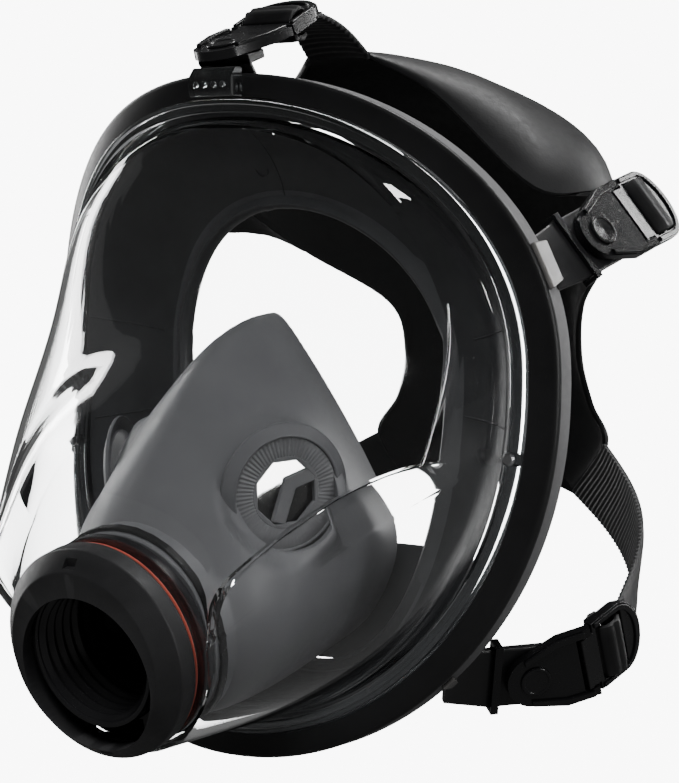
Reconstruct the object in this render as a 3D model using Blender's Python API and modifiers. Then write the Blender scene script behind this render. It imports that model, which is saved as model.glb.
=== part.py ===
"""Full face respirator: clear panoramic visor in a rubber face piece, with a threaded connector port and a
five-strap rubber harness on swivelling ladder-lock buckles.

Units are metres (MM scales from millimetres), +Z is up, the mask faces -Y and the wearer's left is +X.
The origin is the centre of the face opening, at the rim's widest height and level with its top and bottom.
"""

import math

import bmesh
import bpy
import numpy as np
from mathutils import Matrix, Vector

MM = 0.001

# Rim of the face piece: a squarish oval whose sides sweep back round the face.
RIM_HALF_WIDTH = 98.0
RIM_TOP = 92.0
RIM_BOTTOM = 117.0
RIM_SQUARENESS = 2.2
RIM_SIDE_SWEEP = 36.0
RIM_CHIN_SWEEP = 5.5
UPPER_STATIONS = 14
LOWER_STATIONS = 10
BAND_WIDTH = 7.6
BAND_DEPTH = 8.0
WALL = 2.6

# Face opening, the soft edge that lies on the face.
OPENING_HALF_WIDTH = 53.0
OPENING_TOP = 53.0
OPENING_BOTTOM = 95.0
OPENING_CENTRE_Z = 0.0
OPENING_BACK_TOP = 32.0
OPENING_BACK_SIDE = 46.0
OPENING_BACK_CHIN = 50.0
LIP_RADIUS = 3.2

# Visor.
VISOR_THICKNESS = 2.2
VISOR_EDGE_INSET = 2.6
VISOR_START_INSET = 13.0
VISOR_STEPS = 10
CREASE_ANGLE = math.radians(100.5)
VISOR_FALL = 1.8
VISOR_HEIGHTS = (-80.0, -45.0, -15.0, 20.0, 55.0, 79.0)
VISOR_DEPTHS = (97.0, 90.0, 79.0, 51.0, 31.0, 0.0)
VISOR_SQUARENESS = (2.6, 2.05, 1.85, 1.7, 1.8, 1.85)
RING_START = 8.0
RING_END = 11.8
RING_FRONT = -2.0

# Port: its axis runs forward and down from the visor.
PORT_FRONT = Vector((0.0, -64.0, -79.3))
PORT_PITCH = math.radians(14.8)
CAP_RADIUS = 32.4
CAP_OPENING_RADIUS = 23.8
CAP_OPENING_DROP = 4.6
CAP_DEPTH = 12.0
THREAD_RADIUS = 20.3
THREAD_PITCH = 3.63
THREAD_TURNS = 5
TUBE_RADIUS = 22.0
BODY_RADIUS = 29.2
SHOULDER_RADIUS = 32.0
BODY_END = 32.0
VISOR_LIP_DEPTH = 14.2
VISOR_HOLE_RADIUS = 29.8
VISOR_LIP_RADIUS = 34.4

# Nose cup.
CUP_WALL = 2.0
CUP_STATIONS = 28
CUP_STEPS = 7
CUP_BASE_RADIUS = 31.4
CUP_BASE_INNER = 29.6
CUP_BASE_DEPTH = 31.0
CUP_VALVE_RADIUS = 14.0
CUP_VALVE_HOLE = 10.0
CUP_VALVE_CENTRE = Vector((31.0, -9.0, -33.0))
CUP_VALVE_NORMAL = Vector((0.83, -0.50, 0.24)).normalized()

# Buckles: stud place, strap direction and outward direction of each, and how far its lock leans at rest.
LUG_WIDTH = 20.0
LUG_THICKNESS = 3.0
HINGE_REACH = 17.0
LOCK_HALF_WIDTH = 12.2
LOCK_THICKNESS = 2.6
STRAP_WIDTH = 18.0
STRAP_THICKNESS = 1.8
HARNESS_THICKNESS = 2.2


def clear_scene():
    for obj in list(bpy.data.objects):
        bpy.data.objects.remove(obj, do_unlink=True)
    for group in list(bpy.data.collections):
        bpy.data.collections.remove(group)


def collection(name, hidden):
    group = bpy.data.collections.new(name)
    bpy.context.scene.collection.children.link(group)
    group.hide_render = hidden
    return group


def material(name, colour, roughness, metallic=0.0, alpha=1.0):
    mat = bpy.data.materials.new(name)
    mat.use_nodes = True
    shader = mat.node_tree.nodes["Principled BSDF"]
    shader.inputs["Base Color"].default_value = (*colour, 1.0)
    shader.inputs["Roughness"].default_value = roughness
    shader.inputs["Metallic"].default_value = metallic
    shader.inputs["Alpha"].default_value = alpha
    return mat


clear_scene()
PARTS = collection("full_face_respirator", False)
CUTTERS = collection("cutters", True)
BLACK_RUBBER = material("black_rubber", (0.018, 0.018, 0.019), 0.55)
HARNESS_RUBBER = material("harness_rubber", (0.02, 0.02, 0.021), 0.6)
GREY_RUBBER = material("grey_rubber", (0.11, 0.11, 0.115), 0.5)
RED_RUBBER = material("red_rubber", (0.55, 0.12, 0.08), 0.45)
BLACK_PLASTIC = material("black_plastic", (0.015, 0.015, 0.016), 0.38)
CLEAR_PLASTIC = material("clear_plastic", (0.93, 0.95, 0.96), 0.05, 0.0, 0.25)
VALVE_SILICONE = material("valve_silicone", (0.8, 0.8, 0.78), 0.3, 0.0, 0.6)
STEEL = material("steel", (0.5, 0.5, 0.52), 0.3, 1.0)


def add(name, data, mat, matrix=None, group=None):
    """Links a new object whose data is in millimetres and whose matrix places it in millimetres."""
    obj = bpy.data.objects.new(name, data)
    (group or PARTS).objects.link(obj)
    if mat:
        obj.data.materials.append(mat)
    place = matrix.copy() if matrix else Matrix.Identity(4)
    place.translation = place.translation * MM
    obj.matrix_world = place
    return obj


def frame(origin, x_axis, z_axis):
    """Matrix at origin with the given local X and, squared up to it, local Z."""
    x = Vector(x_axis).normalized()
    z = Vector(z_axis)
    z = (z - x * z.dot(x)).normalized()
    y = z.cross(x)
    matrix = Matrix((x, y, z)).transposed().to_4x4()
    matrix.translation = Vector(origin)
    return matrix


def mesh_of(name, points, faces, smooth_angle=None):
    """Mesh from millimetre points, with its faces made to look outwards."""
    mesh = bpy.data.meshes.new(name)
    mesh.from_pydata([tuple(float(c) * MM for c in p) for p in points], [], faces)
    work = bmesh.new()
    work.from_mesh(mesh)
    bmesh.ops.recalc_face_normals(work, faces=work.faces)
    if work.calc_volume(signed=True) < 0:
        bmesh.ops.reverse_faces(work, faces=work.faces)
    work.to_mesh(mesh)
    work.free()
    if smooth_angle:
        mesh.shade_smooth()
        mesh.set_sharp_from_angle(angle=math.radians(smooth_angle))
    return mesh


def loft(name, sections, mat, cyclic=True, matrix=None, smooth_angle=40, group=None):
    """Closed solid through closed sections of equal count, joined end to end or capped at both ends."""
    count = len(sections[0])
    points = [p for section in sections for p in section]
    faces = []
    spans = len(sections) if cyclic else len(sections) - 1
    for i in range(spans):
        j = (i + 1) % len(sections)
        for k in range(count):
            m = (k + 1) % count
            faces.append((i * count + k, i * count + m, j * count + m, j * count + k))
    if not cyclic:
        faces.append(tuple(range(count)))
        faces.append(tuple(reversed(range((len(sections) - 1) * count, len(sections) * count))))
    return add(name, mesh_of(name, points, faces, smooth_angle), mat, matrix, group)


def lathe(name, profile, mat, matrix, steps=32, closed=True, group=None):
    """Round piece from a profile of (radius, height) in millimetres, turned about local Z by a Screw."""
    count = len(profile)
    edges = [(i, i + 1) for i in range(count - 1)]
    if closed:
        edges.append((count - 1, 0))
    mesh = bpy.data.meshes.new(name)
    mesh.from_pydata([(r * MM, 0.0, h * MM) for r, h in profile], edges, [])
    obj = add(name, mesh, mat, matrix, group)
    screw = obj.modifiers.new("turn", "SCREW")
    screw.axis = "Z"
    screw.angle = math.tau
    screw.steps = screw.render_steps = steps
    screw.use_merge_vertices = True
    screw.merge_threshold = 1e-6
    screw.use_normal_calculate = False
    screw.use_smooth_shade = False
    return obj


def outline_curve(name, outlines):
    """Flat 2D curve of closed outlines in millimetres; inner outlines become holes."""
    curve = bpy.data.curves.new(name, "CURVE")
    curve.dimensions = "2D"
    curve.fill_mode = "BOTH"
    for outline in outlines:
        spline = curve.splines.new("POLY")
        spline.points.add(len(outline) - 1)
        for point, (x, y) in zip(spline.points, outline):
            point.co = (x * MM, y * MM, 0.0, 1.0)
        spline.use_cyclic_u = True
    return curve


def plate(name, outlines, low, high, mat, matrix, group=None):
    """Flat plate between two heights on local Z, converted to a mesh so that it can be cut."""
    curve = outline_curve(name, outlines)
    curve.extrude = (high - low) / 2 * MM
    guide = bpy.data.objects.new(name + "_outline", curve)
    PARTS.objects.link(guide)
    graph = bpy.context.evaluated_depsgraph_get()
    mesh = bpy.data.meshes.new_from_object(guide.evaluated_get(graph))
    bpy.data.objects.remove(guide)
    work = bmesh.new()
    work.from_mesh(mesh)
    bmesh.ops.remove_doubles(work, verts=work.verts, dist=1e-6)
    bmesh.ops.recalc_face_normals(work, faces=work.faces)
    bmesh.ops.translate(work, verts=work.verts, vec=(0.0, 0.0, (high + low) / 2 * MM))
    work.to_mesh(mesh)
    work.free()
    mesh.name = name
    mesh.materials.clear()
    return add(name, mesh, mat, matrix, group)


def rectangle(x0, x1, y0, y1):
    return [(x0, y0), (x1, y0), (x1, y1), (x0, y1)]


def circle(radius, count, x=0.0, y=0.0):
    angles = [math.tau * k / count for k in range(count)]
    return [(x + radius * math.cos(a), y + radius * math.sin(a)) for a in angles]


def rod_cutter(name, radius, length, matrix):
    """Hidden cylinder along local Y, for cutting a pin hole."""
    mesh = bpy.data.meshes.new(name)
    work = bmesh.new()
    bmesh.ops.create_cone(
        work, cap_ends=True, segments=16, radius1=radius * MM, radius2=radius * MM, depth=length * MM,
        matrix=Matrix.Rotation(math.pi / 2, 4, "X"),
    )
    work.to_mesh(mesh)
    work.free()
    return cutter_style(add(name, mesh, None, matrix, CUTTERS))


def box_cutter(name, size, matrix):
    mesh = bpy.data.meshes.new(name)
    work = bmesh.new()
    bmesh.ops.create_cube(work, size=1.0, matrix=Matrix.Diagonal((*(Vector(size) * MM), 1.0)))
    work.to_mesh(mesh)
    work.free()
    return cutter_style(add(name, mesh, None, matrix, CUTTERS))


def cutter_style(obj):
    obj.hide_render = True
    obj.display_type = "WIRE"
    return obj


def boolean(obj, other, operation="DIFFERENCE"):
    modifier = obj.modifiers.new(operation.lower(), "BOOLEAN")
    modifier.operation = operation
    modifier.object = other
    modifier.solver = "EXACT"
    return obj


def bevel(obj, width, segments=2):
    modifier = obj.modifiers.new("edge", "BEVEL")
    modifier.width = width * MM
    modifier.segments = segments
    modifier.limit_method = "ANGLE"
    modifier.angle_limit = math.radians(40)
    return obj


# ---------------------------------------------------------------- rim and face piece


def signed_power(value, power):
    return math.copysign(abs(value) ** power, value)


def rim_point(angle, inset=0.0, back=0.0):
    """Point of the rim's front outer corner at an angle from the top, moved inwards and backwards."""
    c, s = math.cos(angle), math.sin(angle)
    e = 2.0 / RIM_SQUARENESS
    height = RIM_TOP if c > 0 else RIM_BOTTOM
    x = (RIM_HALF_WIDTH - inset) * signed_power(s, e)
    z = (height - inset) * signed_power(c, e)
    y = RIM_SIDE_SWEEP * (x / RIM_HALF_WIDTH) ** 2 + RIM_CHIN_SWEEP * max(0.0, -z / RIM_BOTTOM) ** 2
    return Vector((x, y + back, z))


def opening_point(angle, grow=0.0, back=0.0):
    c, s = math.cos(angle), math.sin(angle)
    height = OPENING_TOP if c > 0 else OPENING_BOTTOM
    x = (OPENING_HALF_WIDTH + grow) * s
    z = OPENING_CENTRE_Z + (height + grow) * c
    end = OPENING_BACK_TOP if c > 0 else OPENING_BACK_CHIN
    y = end + (OPENING_BACK_SIDE - end) * s * s
    return Vector((x, y + back, z))


def face_section(angle):
    """Closed section of the rubber body: grooved band, sealing wall and rolled lip."""
    band = BAND_WIDTH
    outer_wall = [rim_point(angle, 1.2, BAND_DEPTH + 0.6), rim_point(angle, 5.0, BAND_DEPTH + 3.0)]
    inner_wall = [rim_point(angle, 12.0, 5.4)]
    groove = [
        rim_point(angle, 2.0, 5.4),
        rim_point(angle, 2.0, 2.0),
        rim_point(angle, band, 2.0),
        rim_point(angle, band, 0.0),
    ]
    start_out = rim_point(angle, 13.0, BAND_DEPTH + 3.6)
    start_in = rim_point(angle, 14.5, 7.6)
    end_out = opening_point(angle, 3.0, WALL * 0.6)
    end_in = opening_point(angle, 2.6, -WALL * 0.6)
    middle_out = (start_out + end_out) / 2 + Vector((0.0, 4.0, 0.0))
    middle_in = (start_in + end_in) / 2 + Vector((0.0, 4.0 - WALL * 0.2, 0.0))
    lip = [
        opening_point(angle, 0.4, LIP_RADIUS),
        opening_point(angle, -2.0, 1.2),
        opening_point(angle, -1.6, -1.8),
        opening_point(angle, 0.6, -LIP_RADIUS),
    ]
    front = [rim_point(angle, 0.7, 0.0), rim_point(angle, 0.0, 0.7), rim_point(angle, 0.0, BAND_DEPTH)]
    outside = front + outer_wall + [start_out, middle_out, end_out]
    inside = [end_in, middle_in, start_in] + inner_wall + groove
    return outside + lip + inside


def stations(count, start=0.0, end=math.tau, include_end=False):
    spans = count - 1 if include_end else count
    return [start + (end - start) * i / spans for i in range(count)]


def rim_angles():
    """Stations round the rim, with one on each crease, shared by every piece that follows the rim."""
    upper = stations(UPPER_STATIONS, 0.0, CREASE_ANGLE, include_end=True)
    lower = stations(LOWER_STATIONS, CREASE_ANGLE, math.pi, include_end=True)[1:]
    right = upper + lower
    return right + [math.tau - a for a in reversed(right[1:-1])]


RIM_ANGLES = rim_angles()
face_piece = loft("face_piece", [face_section(a) for a in RIM_ANGLES], BLACK_RUBBER, smooth_angle=45)


# ---------------------------------------------------------------- port frame

PORT_AXIS = Vector((0.0, -math.cos(PORT_PITCH), -math.sin(PORT_PITCH)))
PORT_UP = Vector((0.0, -math.sin(PORT_PITCH), math.cos(PORT_PITCH)))
PORT = frame(PORT_FRONT, (1.0, 0.0, 0.0), PORT_AXIS)


def port_ring(angle, radius, depth):
    """Point on a circle round the port axis, its angle from the top, at a depth behind the cap's front."""
    centre = PORT_FRONT - PORT_AXIS * depth
    across = Vector((radius * math.sin(angle), 0.0, 0.0))
    return centre + across + PORT_UP * (radius * math.cos(angle))


# ---------------------------------------------------------------- visor


def visor_half_width(z):
    height = (RIM_TOP if z > 0 else RIM_BOTTOM) - VISOR_START_INSET
    share = min(abs(z) / height, 0.9999)
    return (RIM_HALF_WIDTH - VISOR_START_INSET) * (1 - share**RIM_SQUARENESS) ** (1 / RIM_SQUARENESS)


def at_height(z, values):
    """Value at a height from a row of values at VISOR_HEIGHTS, smoothed so that the visor has no kinks."""
    spread = (-9.0, -4.5, 0.0, 4.5, 9.0)
    return sum(float(np.interp(z + s, VISOR_HEIGHTS, values)) for s in spread) / len(spread)


def port_angle(angle):
    """Angle round the port that a rim angle (0 to pi) leads to: the crease leads to the port's side."""
    if angle < CREASE_ANGLE:
        return angle / CREASE_ANGLE * math.pi / 2
    return math.pi / 2 + (angle - CREASE_ANGLE) / (math.pi - CREASE_ANGLE) * math.pi / 2


def visor_point(angle, share):
    """Point on the visor's outer face from its edge (share 0) to the port lip (share 1)."""
    side = 1.0 if angle <= math.pi else -1.0
    turn = angle if angle <= math.pi else math.tau - angle
    edge = rim_point(turn, VISOR_START_INSET, 2.3)
    lip = port_ring(port_angle(turn), VISOR_LIP_RADIUS, VISOR_LIP_DEPTH)
    x = edge.x + (lip.x - edge.x) * share
    z = edge.z + (lip.z - edge.z) * share**VISOR_FALL
    if turn <= CREASE_ANGLE + 1e-6:
        width = visor_half_width(z)
        sweep = RIM_SIDE_SWEEP * (width / RIM_HALF_WIDTH) ** 2
        power = at_height(z, VISOR_SQUARENESS)
        fill = (1 - min(x / width, 1.0) ** power) ** (1 / power)
        bulged = sweep - at_height(z, VISOR_DEPTHS) * fill
        ease = max(0.0, min(1.0, (share - 0.7) / 0.3))
        ease = ease * ease * (3 - 2 * ease)
        start = max(0.0, 1.0 - share / 0.12)
        y = bulged * (1 - ease) + lip.y * ease
        y = y * (1 - start) + edge.y * start
    else:
        z = edge.z + (lip.z - edge.z) * share
        y = edge.y + (lip.y - edge.y) * (1 - (1 - share) ** 1.3) ** (1 / 1.3)
    return Vector((side * x, y, z))


def visor_shares():
    return [(i / VISOR_STEPS) ** 1.25 for i in range(VISOR_STEPS + 1)]


def inner_offset(grid, i, j, thickness):
    """Point of the grid moved inwards, square to its surface."""
    rows, columns = len(grid), len(grid[0])
    across = grid[(i + 1) % rows][j] - grid[(i - 1) % rows][j]
    along = grid[i][min(j + 1, columns - 1)] - grid[i][max(j - 1, 0)]
    return grid[i][j] + across.cross(along).normalized() * thickness


def visor_sections():
    angles = RIM_ANGLES
    grid = [[visor_point(a, s) for s in visor_shares()] for a in angles]
    sections = []
    for i, angle in enumerate(angles):
        outer = grid[i]
        flange = [
            rim_point(angle, VISOR_EDGE_INSET, 2.3),
            rim_point(angle, VISOR_EDGE_INSET, 5.0),
            rim_point(angle, VISOR_START_INSET + 2.4, 5.0),
        ]
        inner = [inner_offset(grid, i, j, VISOR_THICKNESS) for j in range(1, len(outer) - 1)]
        turn = angle if angle <= math.pi else math.tau - angle
        around = port_angle(turn) if angle <= math.pi else -port_angle(turn)
        lip = [
            port_ring(around, VISOR_LIP_RADIUS, VISOR_LIP_DEPTH),
            port_ring(around, VISOR_HOLE_RADIUS, VISOR_LIP_DEPTH),
            port_ring(around, VISOR_HOLE_RADIUS, VISOR_LIP_DEPTH + VISOR_THICKNESS),
            port_ring(around, VISOR_LIP_RADIUS - 1.4, VISOR_LIP_DEPTH + VISOR_THICKNESS),
        ]
        sections.append(outer[:-1] + lip + list(reversed(inner)) + list(reversed(flange)))
    return sections


loft("visor", visor_sections(), CLEAR_PLASTIC, smooth_angle=30)


# ---------------------------------------------------------------- lens rings, screws and top clip


def ring_section(angle):
    """Clear ridged strip that lies on the visor's edge just inside the rubber band."""
    return [
        rim_point(angle, RING_START, 2.0),
        rim_point(angle, RING_START, RING_FRONT + 0.8),
        rim_point(angle, RING_START + 0.8, RING_FRONT),
        rim_point(angle, RING_END - 0.9, RING_FRONT),
        rim_point(angle, RING_END, RING_FRONT + 0.9),
        rim_point(angle, RING_END, 2.0),
    ]


RING_GAP = math.radians(0.9)
UPPER_END = CREASE_ANGLE - RING_GAP
LOWER_END = CREASE_ANGLE + RING_GAP
upper_half = [a for a in RIM_ANGLES if 1e-3 < a < UPPER_END] + [UPPER_END]
upper_angles = [-a for a in reversed(upper_half)] + [0.0] + upper_half
lower_inner = [a for a in RIM_ANGLES if LOWER_END < a < math.tau - LOWER_END]
lower_angles = [LOWER_END] + lower_inner + [math.tau - LOWER_END]
loft("upper_lens_ring", [ring_section(a) for a in upper_angles], CLEAR_PLASTIC, cyclic=False)
loft("lower_lens_ring", [ring_section(a) for a in lower_angles], CLEAR_PLASTIC, cyclic=False)

SCREW_PROFILE = ((0.0, 2.0), (1.4, 2.0), (2.0, 1.4), (2.0, 0.3), (0.0, 0.3))
for side, word in ((1.0, "left"), (-1.0, "right")):
    place = rim_point(CREASE_ANGLE, 9.8, RING_FRONT)
    head = frame((side * place.x, place.y, place.z), (0.0, 0.0, 1.0), (side * 0.3, -0.95, 0.0))
    lathe("lens_ring_screw_" + word, SCREW_PROFILE, STEEL, head, steps=12, closed=False)

CLIP_HALF = 8.4
CLIP_SECTION = ((-5.0, 84.8), (-5.8, 86.0), (-5.8, 90.6), (-3.4, 93.6), (-0.5, 93.6), (-0.5, 84.8))
clip = loft(
    "top_clip",
    [[Vector((x, y, z)) for y, z in CLIP_SECTION] for x in (-CLIP_HALF, CLIP_HALF)],
    CLEAR_PLASTIC,
    cyclic=False,
)
bevel(clip, 0.4, 1)


# ---------------------------------------------------------------- port

CAP_PROFILE = (
    (18.5, 0.0),
    (26.8, 0.0),
    (CAP_RADIUS, -5.2),
    (CAP_RADIUS, -CAP_DEPTH + 0.8),
    (CAP_RADIUS - 0.8, -CAP_DEPTH),
    (22.5, -CAP_DEPTH),
    (22.5, -2.6),
    (18.5, -2.6),
)
cap = lathe("retaining_cap", CAP_PROFILE, BLACK_PLASTIC, PORT, steps=40)
opening_cutter = plate(
    "cap_opening_cutter",
    [circle(CAP_OPENING_RADIUS, 40, y=-CAP_OPENING_DROP)],
    -8.6,
    1.0,
    None,
    PORT,
    CUTTERS,
)
boolean(cap, cutter_style(opening_cutter))
outlet = box_cutter("cap_outlet_cutter", (22.0, 7.3, 8.0), PORT @ Matrix.Translation((0.0, -24.1, -11.3)))
boolean(cap, outlet)
for k, height in enumerate((29.2, -30.7)):
    recess = PORT @ Matrix.Translation((0.0, height, -1.6))
    boolean(cap, box_cutter("cap_recess_cutter_%d" % k, (4.4, 3.0, 3.4), recess))


def thread_profile(start, crest, root):
    """Radii and heights of a row of rounded thread crests, running inwards."""
    rows = []
    for turn in range(THREAD_TURNS):
        top = start - turn * THREAD_PITCH
        rows += [(root, top), (crest, top - THREAD_PITCH * 0.32), (crest, top - THREAD_PITCH * 0.55)]
    return rows + [(root, start - THREAD_TURNS * THREAD_PITCH)]


BODY_FRONT = -3.4
BODY_PROFILE = list(reversed(thread_profile(BODY_FRONT - 1.0, THREAD_RADIUS - 1.5, THREAD_RADIUS)))
BODY_PROFILE += [
    (THREAD_RADIUS + 0.5, BODY_FRONT),
    (TUBE_RADIUS, BODY_FRONT),
    (TUBE_RADIUS, -29.6),
    (27.6, -29.6),
    (27.6, -13.0),
    (BODY_RADIUS, -13.0),
    (BODY_RADIUS, -16.9),
    (SHOULDER_RADIUS, -17.2),
    (SHOULDER_RADIUS, -20.0),
    (BODY_RADIUS, -20.4),
    (BODY_RADIUS, -BODY_END),
    (THREAD_RADIUS, -BODY_END),
]
body = lathe("connector_body", BODY_PROFILE, BLACK_PLASTIC, PORT, steps=36)
for k in range(6):
    turn = Matrix.Rotation(math.tau * (k + 0.5) / 6, 4, "Z")
    slot = PORT @ turn @ Matrix.Translation((24.8, 0.0, -31.2))
    boolean(body, box_cutter("exhale_slot_cutter_%d" % k, (3.4, 9.0, 6.0), slot))



def flat_ring(name, inner, outer, front, back, slot):
    """Ring of rectangular section round the port axis, between two depths behind the cap's front."""
    profile = ((inner, -front), (outer, -front), (outer, -back), (inner, -back))
    return lathe(name, profile, slot, PORT, 32)


flat_ring("connector_seal_washer", 17.6, 19.9, 23.4, 25.0, BLACK_RUBBER)
O_RING_PROFILE = (
    (30.2, -12.4),
    (31.8, -12.4),
    (32.2, -12.9),
    (32.2, -13.4),
    (31.8, -13.9),
    (30.2, -13.9),
    (29.7, -13.1),
)
lathe("red_o_ring", O_RING_PROFILE, RED_RUBBER, PORT, 36)
flat_ring("cup_clamp_ring", 31.7, 32.6, 23.4, 26.0, BLACK_PLASTIC)
flat_ring("exhalation_valve_disc", 22.5, 27.1, 28.3, 29.2, VALVE_SILICONE)

SEAT_HOLES = [circle(3.9, 10, 11.6 * math.cos(a), 11.6 * math.sin(a)) for a in stations(6)]
plate("inhalation_valve_seat", [circle(19.8, 32)] + SEAT_HOLES, -27.4, -25.8, BLACK_PLASTIC, PORT)
INHALE_REST = PORT @ Matrix.Translation((0.0, 0.0, -28.2))
lathe(
    "inhalation_valve_disc",
    ((0.0, 0.4), (17.0, 0.4), (17.0, -0.4), (0.0, -0.4)),
    VALVE_SILICONE,
    INHALE_REST,
    32,
    closed=False,
)


# ---------------------------------------------------------------- nose cup

# Each row: angle round the port in degrees, then the cup's face edge and its fullest outer point.
CUP_KEYS = (
    (0.0, (0.0, 26.0, 18.6), (0.0, -11.0, 3.0)),
    (30.0, (10.0, 30.0, 6.0), (14.0, -8.0, -4.0)),
    (60.0, (27.0, 37.0, -25.0), (30.0, -7.0, -25.0)),
    (90.0, (36.0, 41.0, -50.0), (38.0, -9.0, -52.0)),
    (120.0, (30.0, 38.0, -72.0), (36.0, -9.0, -77.0)),
    (150.0, (16.0, 35.0, -85.0), (22.0, -9.0, -93.5)),
    (180.0, (0.0, 34.0, -89.0), (0.0, -9.0, -97.5)),
)


def cup_key(angle, column):
    """Catmull-Rom value between the rows of CUP_KEYS, mirrored at the top and bottom."""
    rows = [Vector(row[column]) for row in CUP_KEYS]
    mirror = Vector((-1.0, 1.0, 1.0))
    rows = [rows[1] * mirror] + rows + [rows[-2] * mirror]
    place = min(angle / math.radians(30.0), 5.999999)
    i = int(place)
    f = place - i
    a, b, c, d = rows[i : i + 4]
    squared = (2 * a - 5 * b + 4 * c - d) * f**2
    cubed = (3 * b - a - 3 * c + d) * f**3
    return 0.5 * (2 * b + (c - a) * f + squared + cubed)


def cup_point(angle, share):
    """Outer face of the nose cup from its face edge (share 0) to its base on the port (share 1)."""
    turn = angle if angle <= math.pi else math.tau - angle
    side = 1.0 if angle <= math.pi else -1.0
    edge, full = cup_key(turn, 1), cup_key(turn, 2)
    base = port_ring(turn, CUP_BASE_RADIUS, CUP_BASE_DEPTH)
    control = 2 * full - (edge + base) / 2
    point = edge * (1 - share) ** 2 + control * (2 * share * (1 - share)) + base * share**2
    return Vector((side * point.x, point.y, point.z))


def cup_sections():
    angles = stations(CUP_STATIONS)
    grid = [[cup_point(a, j / CUP_STEPS) for j in range(CUP_STEPS + 1)] for a in angles]
    sections = []
    for i, angle in enumerate(angles):
        outer = grid[i]
        inner = [inner_offset(grid, i, j, CUP_WALL) for j in range(CUP_STEPS)]
        base = [
            port_ring(angle, CUP_BASE_RADIUS, 22.0),
            port_ring(angle, CUP_BASE_INNER, 22.0),
            port_ring(angle, CUP_BASE_INNER, CUP_BASE_DEPTH + 1.6),
        ]
        sections.append(outer + base + list(reversed(inner)))
    return sections


CHIN_TOP = -53.0
CHIN_BOTTOM = -90.0
CHIN_ROWS = 8
CHIN_COLUMNS = 13
CHIN_WALL = 2.0
CHIN_GAP = 2.2
CHIN_HOLLOW = 2.5


def chin_point(row, share, back):
    """Point of the chin cup between the lips: row 0 at its top edge to 1, share -1 to 1 across."""
    z = CHIN_TOP + (CHIN_BOTTOM - CHIN_TOP) * row
    cosine = -z / (OPENING_BOTTOM - CHIN_GAP)
    sine = math.sqrt(1 - cosine**2)
    lip = OPENING_BACK_CHIN + (OPENING_BACK_SIDE - OPENING_BACK_CHIN) * sine**2
    hollow = CHIN_HOLLOW * (1 - share**2) * (1 - row)
    return Vector(((OPENING_HALF_WIDTH - CHIN_GAP) * sine * share, lip + hollow + back, z))


def chin_sections():
    shares = stations(CHIN_COLUMNS, -1.0, 1.0, include_end=True)
    sections = []
    for row in stations(CHIN_ROWS, 0.0, 1.0, include_end=True):
        front = [chin_point(row, s, -CHIN_WALL / 2) for s in shares]
        rear = [chin_point(row, s, CHIN_WALL / 2) for s in reversed(shares)]
        sections.append(front + rear)
    return sections


loft("chin_cup", chin_sections(), BLACK_RUBBER, cyclic=False, smooth_angle=50)


nose_cup = loft("nose_cup", cup_sections(), GREY_RUBBER, smooth_angle=50)


for side, word in ((1.0, "left"), (-1.0, "right")):
    flip = Vector((side, 1.0, 1.0))
    place = frame(CUP_VALVE_CENTRE * flip, (0.0, 0.3, -0.95), CUP_VALVE_NORMAL * flip)
    hole = plate("cup_hole_cutter_" + word, [circle(CUP_VALVE_RADIUS, 32)], -8.0, 8.0, None, place, CUTTERS)
    boolean(nose_cup, cutter_style(hole))
    holes = []
    for sign in (1.0, -1.0):
        arc = [math.radians(sign * (12.0 + 156.0 * k / 9)) for k in range(10)]
        rim = [(CUP_VALVE_HOLE * math.cos(a), CUP_VALVE_HOLE * math.sin(a)) for a in arc]
        holes.append(rim + [(0.0, sign * 2.0 - 2.0)])
    outlines = [circle(CUP_VALVE_RADIUS - 0.4, 32)] + holes
    plate("cup_valve_seat_" + word, outlines, -1.2, 1.2, GREY_RUBBER, place)
    behind = place @ Matrix.Translation((0.0, 0.0, -2.0))
    lathe(
        "cup_valve_flap_" + word,
        ((0.0, 0.3), (11.2, 0.3), (11.2, -0.3), (0.0, -0.3)),
        VALVE_SILICONE,
        behind,
        24,
        closed=False,
    )


# ---------------------------------------------------------------- buckles

# Each buckle: stud centre, direction of the lug, outward direction, swivel and lean at rest in degrees.
BUCKLES = {
    "top": ((0.0, 1.5, 97.6), (0.0, 0.95, 0.31), (0.0, -0.31, 0.95), 0.0, -8.0),
    "left_temple": ((93.5, 64.0, 43.0), (0.04, 0.95, 0.295), (0.826, -0.192, 0.507), 0.0, 8.0),
    "left_lower": ((78.0, 53.6, -91.0), (0.62, 0.78, 0.05), (0.71, -0.54, -0.36), 15.0, 30.0),
}
LUG_ROOTS = {
    "top": (0.0, 3.4),
    "left_temple": (math.radians(70.0), 3.4),
    "left_lower": (math.radians(140.0), 3.0),
}

FORK_REACH = 2.5
PIN_RADIUS = 0.8
BASE_LOW, BASE_HIGH = 0.4, 3.4
PIN_HEIGHT = (BASE_LOW + BASE_HIGH) / 2

FRONT_ARC = stations(7, math.radians(115), math.radians(245), True)
BASE_FRONT = [(9.0 * math.cos(a), 9.0 * math.sin(a)) for a in FRONT_ARC]
BASE_OUTLINE = BASE_FRONT + [
    (9.0, -LOCK_HALF_WIDTH),
    (HINGE_REACH + FORK_REACH, -LOCK_HALF_WIDTH),
    (HINGE_REACH + FORK_REACH, -9.5),
    (HINGE_REACH - 3.8, -9.5),
    (HINGE_REACH - 3.8, 9.5),
    (HINGE_REACH + FORK_REACH, 9.5),
    (HINGE_REACH + FORK_REACH, LOCK_HALF_WIDTH),
    (9.0, LOCK_HALF_WIDTH),
]
LOCK_ARC = stations(9, -math.pi / 2, math.pi / 2, True)
LOCK_END = [(15.0 + 9.0 * math.cos(a), LOCK_HALF_WIDTH * math.sin(a)) for a in LOCK_ARC]
LOCK_OUTLINE = [(-1.9, 9.1), (-1.9, -9.1), (3.3, -9.1), (3.3, -LOCK_HALF_WIDTH)]
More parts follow.
